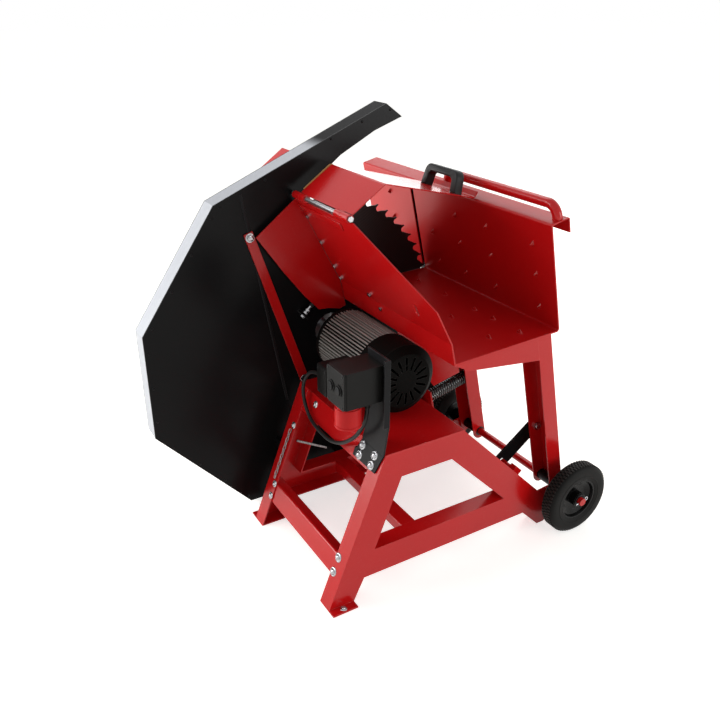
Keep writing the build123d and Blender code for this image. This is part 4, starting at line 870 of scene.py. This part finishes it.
# The teeth's folds carry a pale painted highlight in place of the glints on their edges.
glint_red = baked_paint(
    "red_coat_painted_glints_on_teeth", dark=(0.46, 0.004, 0.005), light=(0.56, 0.007, 0.008), dust=(0.5, 0.12, 0.11),
    fold_highlight_colour=(0.62, 0.16, 0.14), rough=(0.16, 0.26), peel=520, depth=0.0002, fold=0.0014,
)
finish_piece(teeth, "trough_teeth", glint_red, "rocker")

# Slot foot: a small black plate under the slot cover, which closes the lower end of the blade's slot.
# It is spot welded to the back of the trough.
SLOT_FOOT_Y = 0.0144
SLOT_FOOT_Z = 0.4685
SLOT_FOOT_SIZE = (0.046, 0.026, 0.0016)
slot_foot = bmesh.new()
slot_middle = rocker_point(BLADE_MIDDLE.x, SLOT_FOOT_Y, SLOT_FOOT_Z)
slab(slot_foot, slot_middle, (1, 0, 0), rocker_up, SLOT_FOOT_SIZE, nick=0.0005)
finish_piece(slot_foot, "slot_foot", black_paint, "rocker")

# Hinge strip: a flat bar welded on the wall's outer face under the flap's hinge, to stiffen its edge.
# It is painted red with the wall.
WALL_RUN = 0.2559
WALL_RISE = 0.9667
WALL_FOOT_Y = -0.27254
WALL_FOOT_Z = 0.578
STRIP_X = -0.014
STRIP_Z = 0.7965
STRIP_OUT = 0.0045
STRIP_SIZE = (0.196, 0.020, 0.0030)
wall_rise = (rocker_along * -WALL_RUN + rocker_up * WALL_RISE).normalized()
wall_out = (rocker_along * -WALL_RISE - rocker_up * WALL_RUN).normalized()
up_wall = (STRIP_Z - WALL_FOOT_Z) / WALL_RISE
wall_foot = rocker_point(STRIP_X, WALL_FOOT_Y, WALL_FOOT_Z)
strip_middle = wall_foot + wall_rise * up_wall + wall_out * STRIP_OUT
strip = bmesh.new()
slab(strip, strip_middle, (1, 0, 0), wall_rise, STRIP_SIZE, nick=0.0008)
finish_piece(strip, "hinge_strip", red_paint, "rocker")

# Flap handle: a moulded bow of black plastic on the wing, with rounded shoulders and soft edges.
# It is fixed through the sheet at its two feet.
FLAP_FOLD_Y = -0.241
FLAP_FOLD_Z = 0.872
WING_TIP_Y = 0.008
WING_TIP_Z = 0.742
BOW_X = 0.023
BOW_Y = -0.030
BOW_DEPTH = 0.024
BOW_SHOULDER = 0.016
BOW_INNER = 0.010
BOW_EDGE = 0.0038
BOW_UNDER = 0.033
BOW_OUTLINE = [
    (-0.068, 0), (-0.060, 0.051), (0.060, 0.051), (0.068, 0), (0.047, 0), (0.043, BOW_UNDER),
    (-0.043, BOW_UNDER), (-0.047, 0),
]
grip_black = moulded(
    "handle_moulding", dark=(0.009, 0.009, 0.0095), light=(0.016, 0.016, 0.0165), rough=(0.32, 0.44),
    grain=1300, depth=0.0001, edge=0.001, shine=0.2,
)
wing_fall = (FLAP_FOLD_Z - WING_TIP_Z) / (WING_TIP_Y - FLAP_FOLD_Y)
wing_turn = TILT - math.atan(wing_fall)
wing_out = Vector((0, -math.sin(wing_turn), math.cos(wing_turn)))
wing_down = Vector((0, math.cos(wing_turn), math.sin(wing_turn)))
bow_foot = rocker_point(BOW_X, BOW_Y, FLAP_FOLD_Z - (BOW_Y - FLAP_FOLD_Y) * wing_fall)
bow = bmesh.new()
corners = [
    bow.verts.new(bow_foot + Vector((u, 0, 0)) + wing_out * v - wing_down * (BOW_DEPTH / 2))
    for u, v in BOW_OUTLINE
]
bow.faces.new(corners)
soften(bow, [corners[1], corners[2]], BOW_SHOULDER, segments=6, affect="VERTICES")
inner = [vert for vert in bow.verts if abs((vert.co - bow_foot).dot(wing_out) - BOW_UNDER) < 1e-5]
soften(bow, inner, BOW_INNER, segments=5, affect="VERTICES")
near_rims = list(bow.edges)
pulled = bmesh.ops.extrude_face_region(bow, geom=list(bow.faces))["geom"]
moved = [made for made in pulled if isinstance(made, bmesh.types.BMVert)]
bmesh.ops.translate(bow, verts=moved, vec=wing_down * BOW_DEPTH)
far_rims = [made for made in pulled if isinstance(made, bmesh.types.BMEdge)]
soften(bow, near_rims + far_rims, BOW_EDGE, segments=3)
handle_piece = finish_piece(bow, "flap_bow_handle", grip_black, "flap")
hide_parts("flap_handle")

# Flap trim: a strip of tan edging pressed over the flap's far edge.
# It is a firm plastic with a fine grain.
tan_trim = moulded(
    "tan_trim", dark=(0.42, 0.20, 0.06), light=(0.52, 0.28, 0.10), rough=(0.35, 0.5), grain=700, depth=0.0001,
    edge=0.0008,
)
dress(tan_trim, "flap_trim")

# Return spring: one open helix of black oiled wire between its seat on the frame and the rocker's far leg.
SPRING_X = -0.028
SPRING_Z = 0.183
SEAT_Y = -0.134
LEG_WEB_Y = 0.0145
SPRING_START = SEAT_Y + 0.003
SPRING_END = LEG_WEB_Y - 0.0035
COIL_R = 0.0165
WIRE_R = 0.0026
TURNS = 20
STEPS = 20
spring_wire = bare_metal(
    "oiled_spring_wire", dark=(0.050, 0.050, 0.050), light=(0.140, 0.140, 0.140), rough=(0.14, 0.24),
    grain=600, depth=0.0001,
)
spring_data = bpy.data.curves.new("spring_line", "CURVE")
spring_data.dimensions = "3D"
spring_data.bevel_depth = WIRE_R
spring_data.bevel_resolution = 2
spring_data.use_fill_caps = True
spring_line = spring_data.splines.new("POLY")
spring_line.points.add(TURNS * STEPS)
for count, point in enumerate(spring_line.points):
    angle = 2 * math.pi * count / STEPS
    way = SPRING_START + (SPRING_END - SPRING_START) * count / (TURNS * STEPS)
    spot = rocker_point(SPRING_X + COIL_R * math.cos(angle), way, SPRING_Z + COIL_R * math.sin(angle))
    point.co = (*spot, 1)
spring_curve = put("spring_line", spring_data)
bpy.context.view_layer.update()
shaped = spring_curve.evaluated_get(bpy.context.evaluated_depsgraph_get())
coil_mesh = bpy.data.meshes.new_from_object(shaped)
bpy.data.objects.remove(spring_curve)
coil_mesh.materials.clear()
coil_mesh.materials.append(spring_wire)
coil = put("return_spring_coil", coil_mesh)
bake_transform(coil)
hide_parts("return_spring")
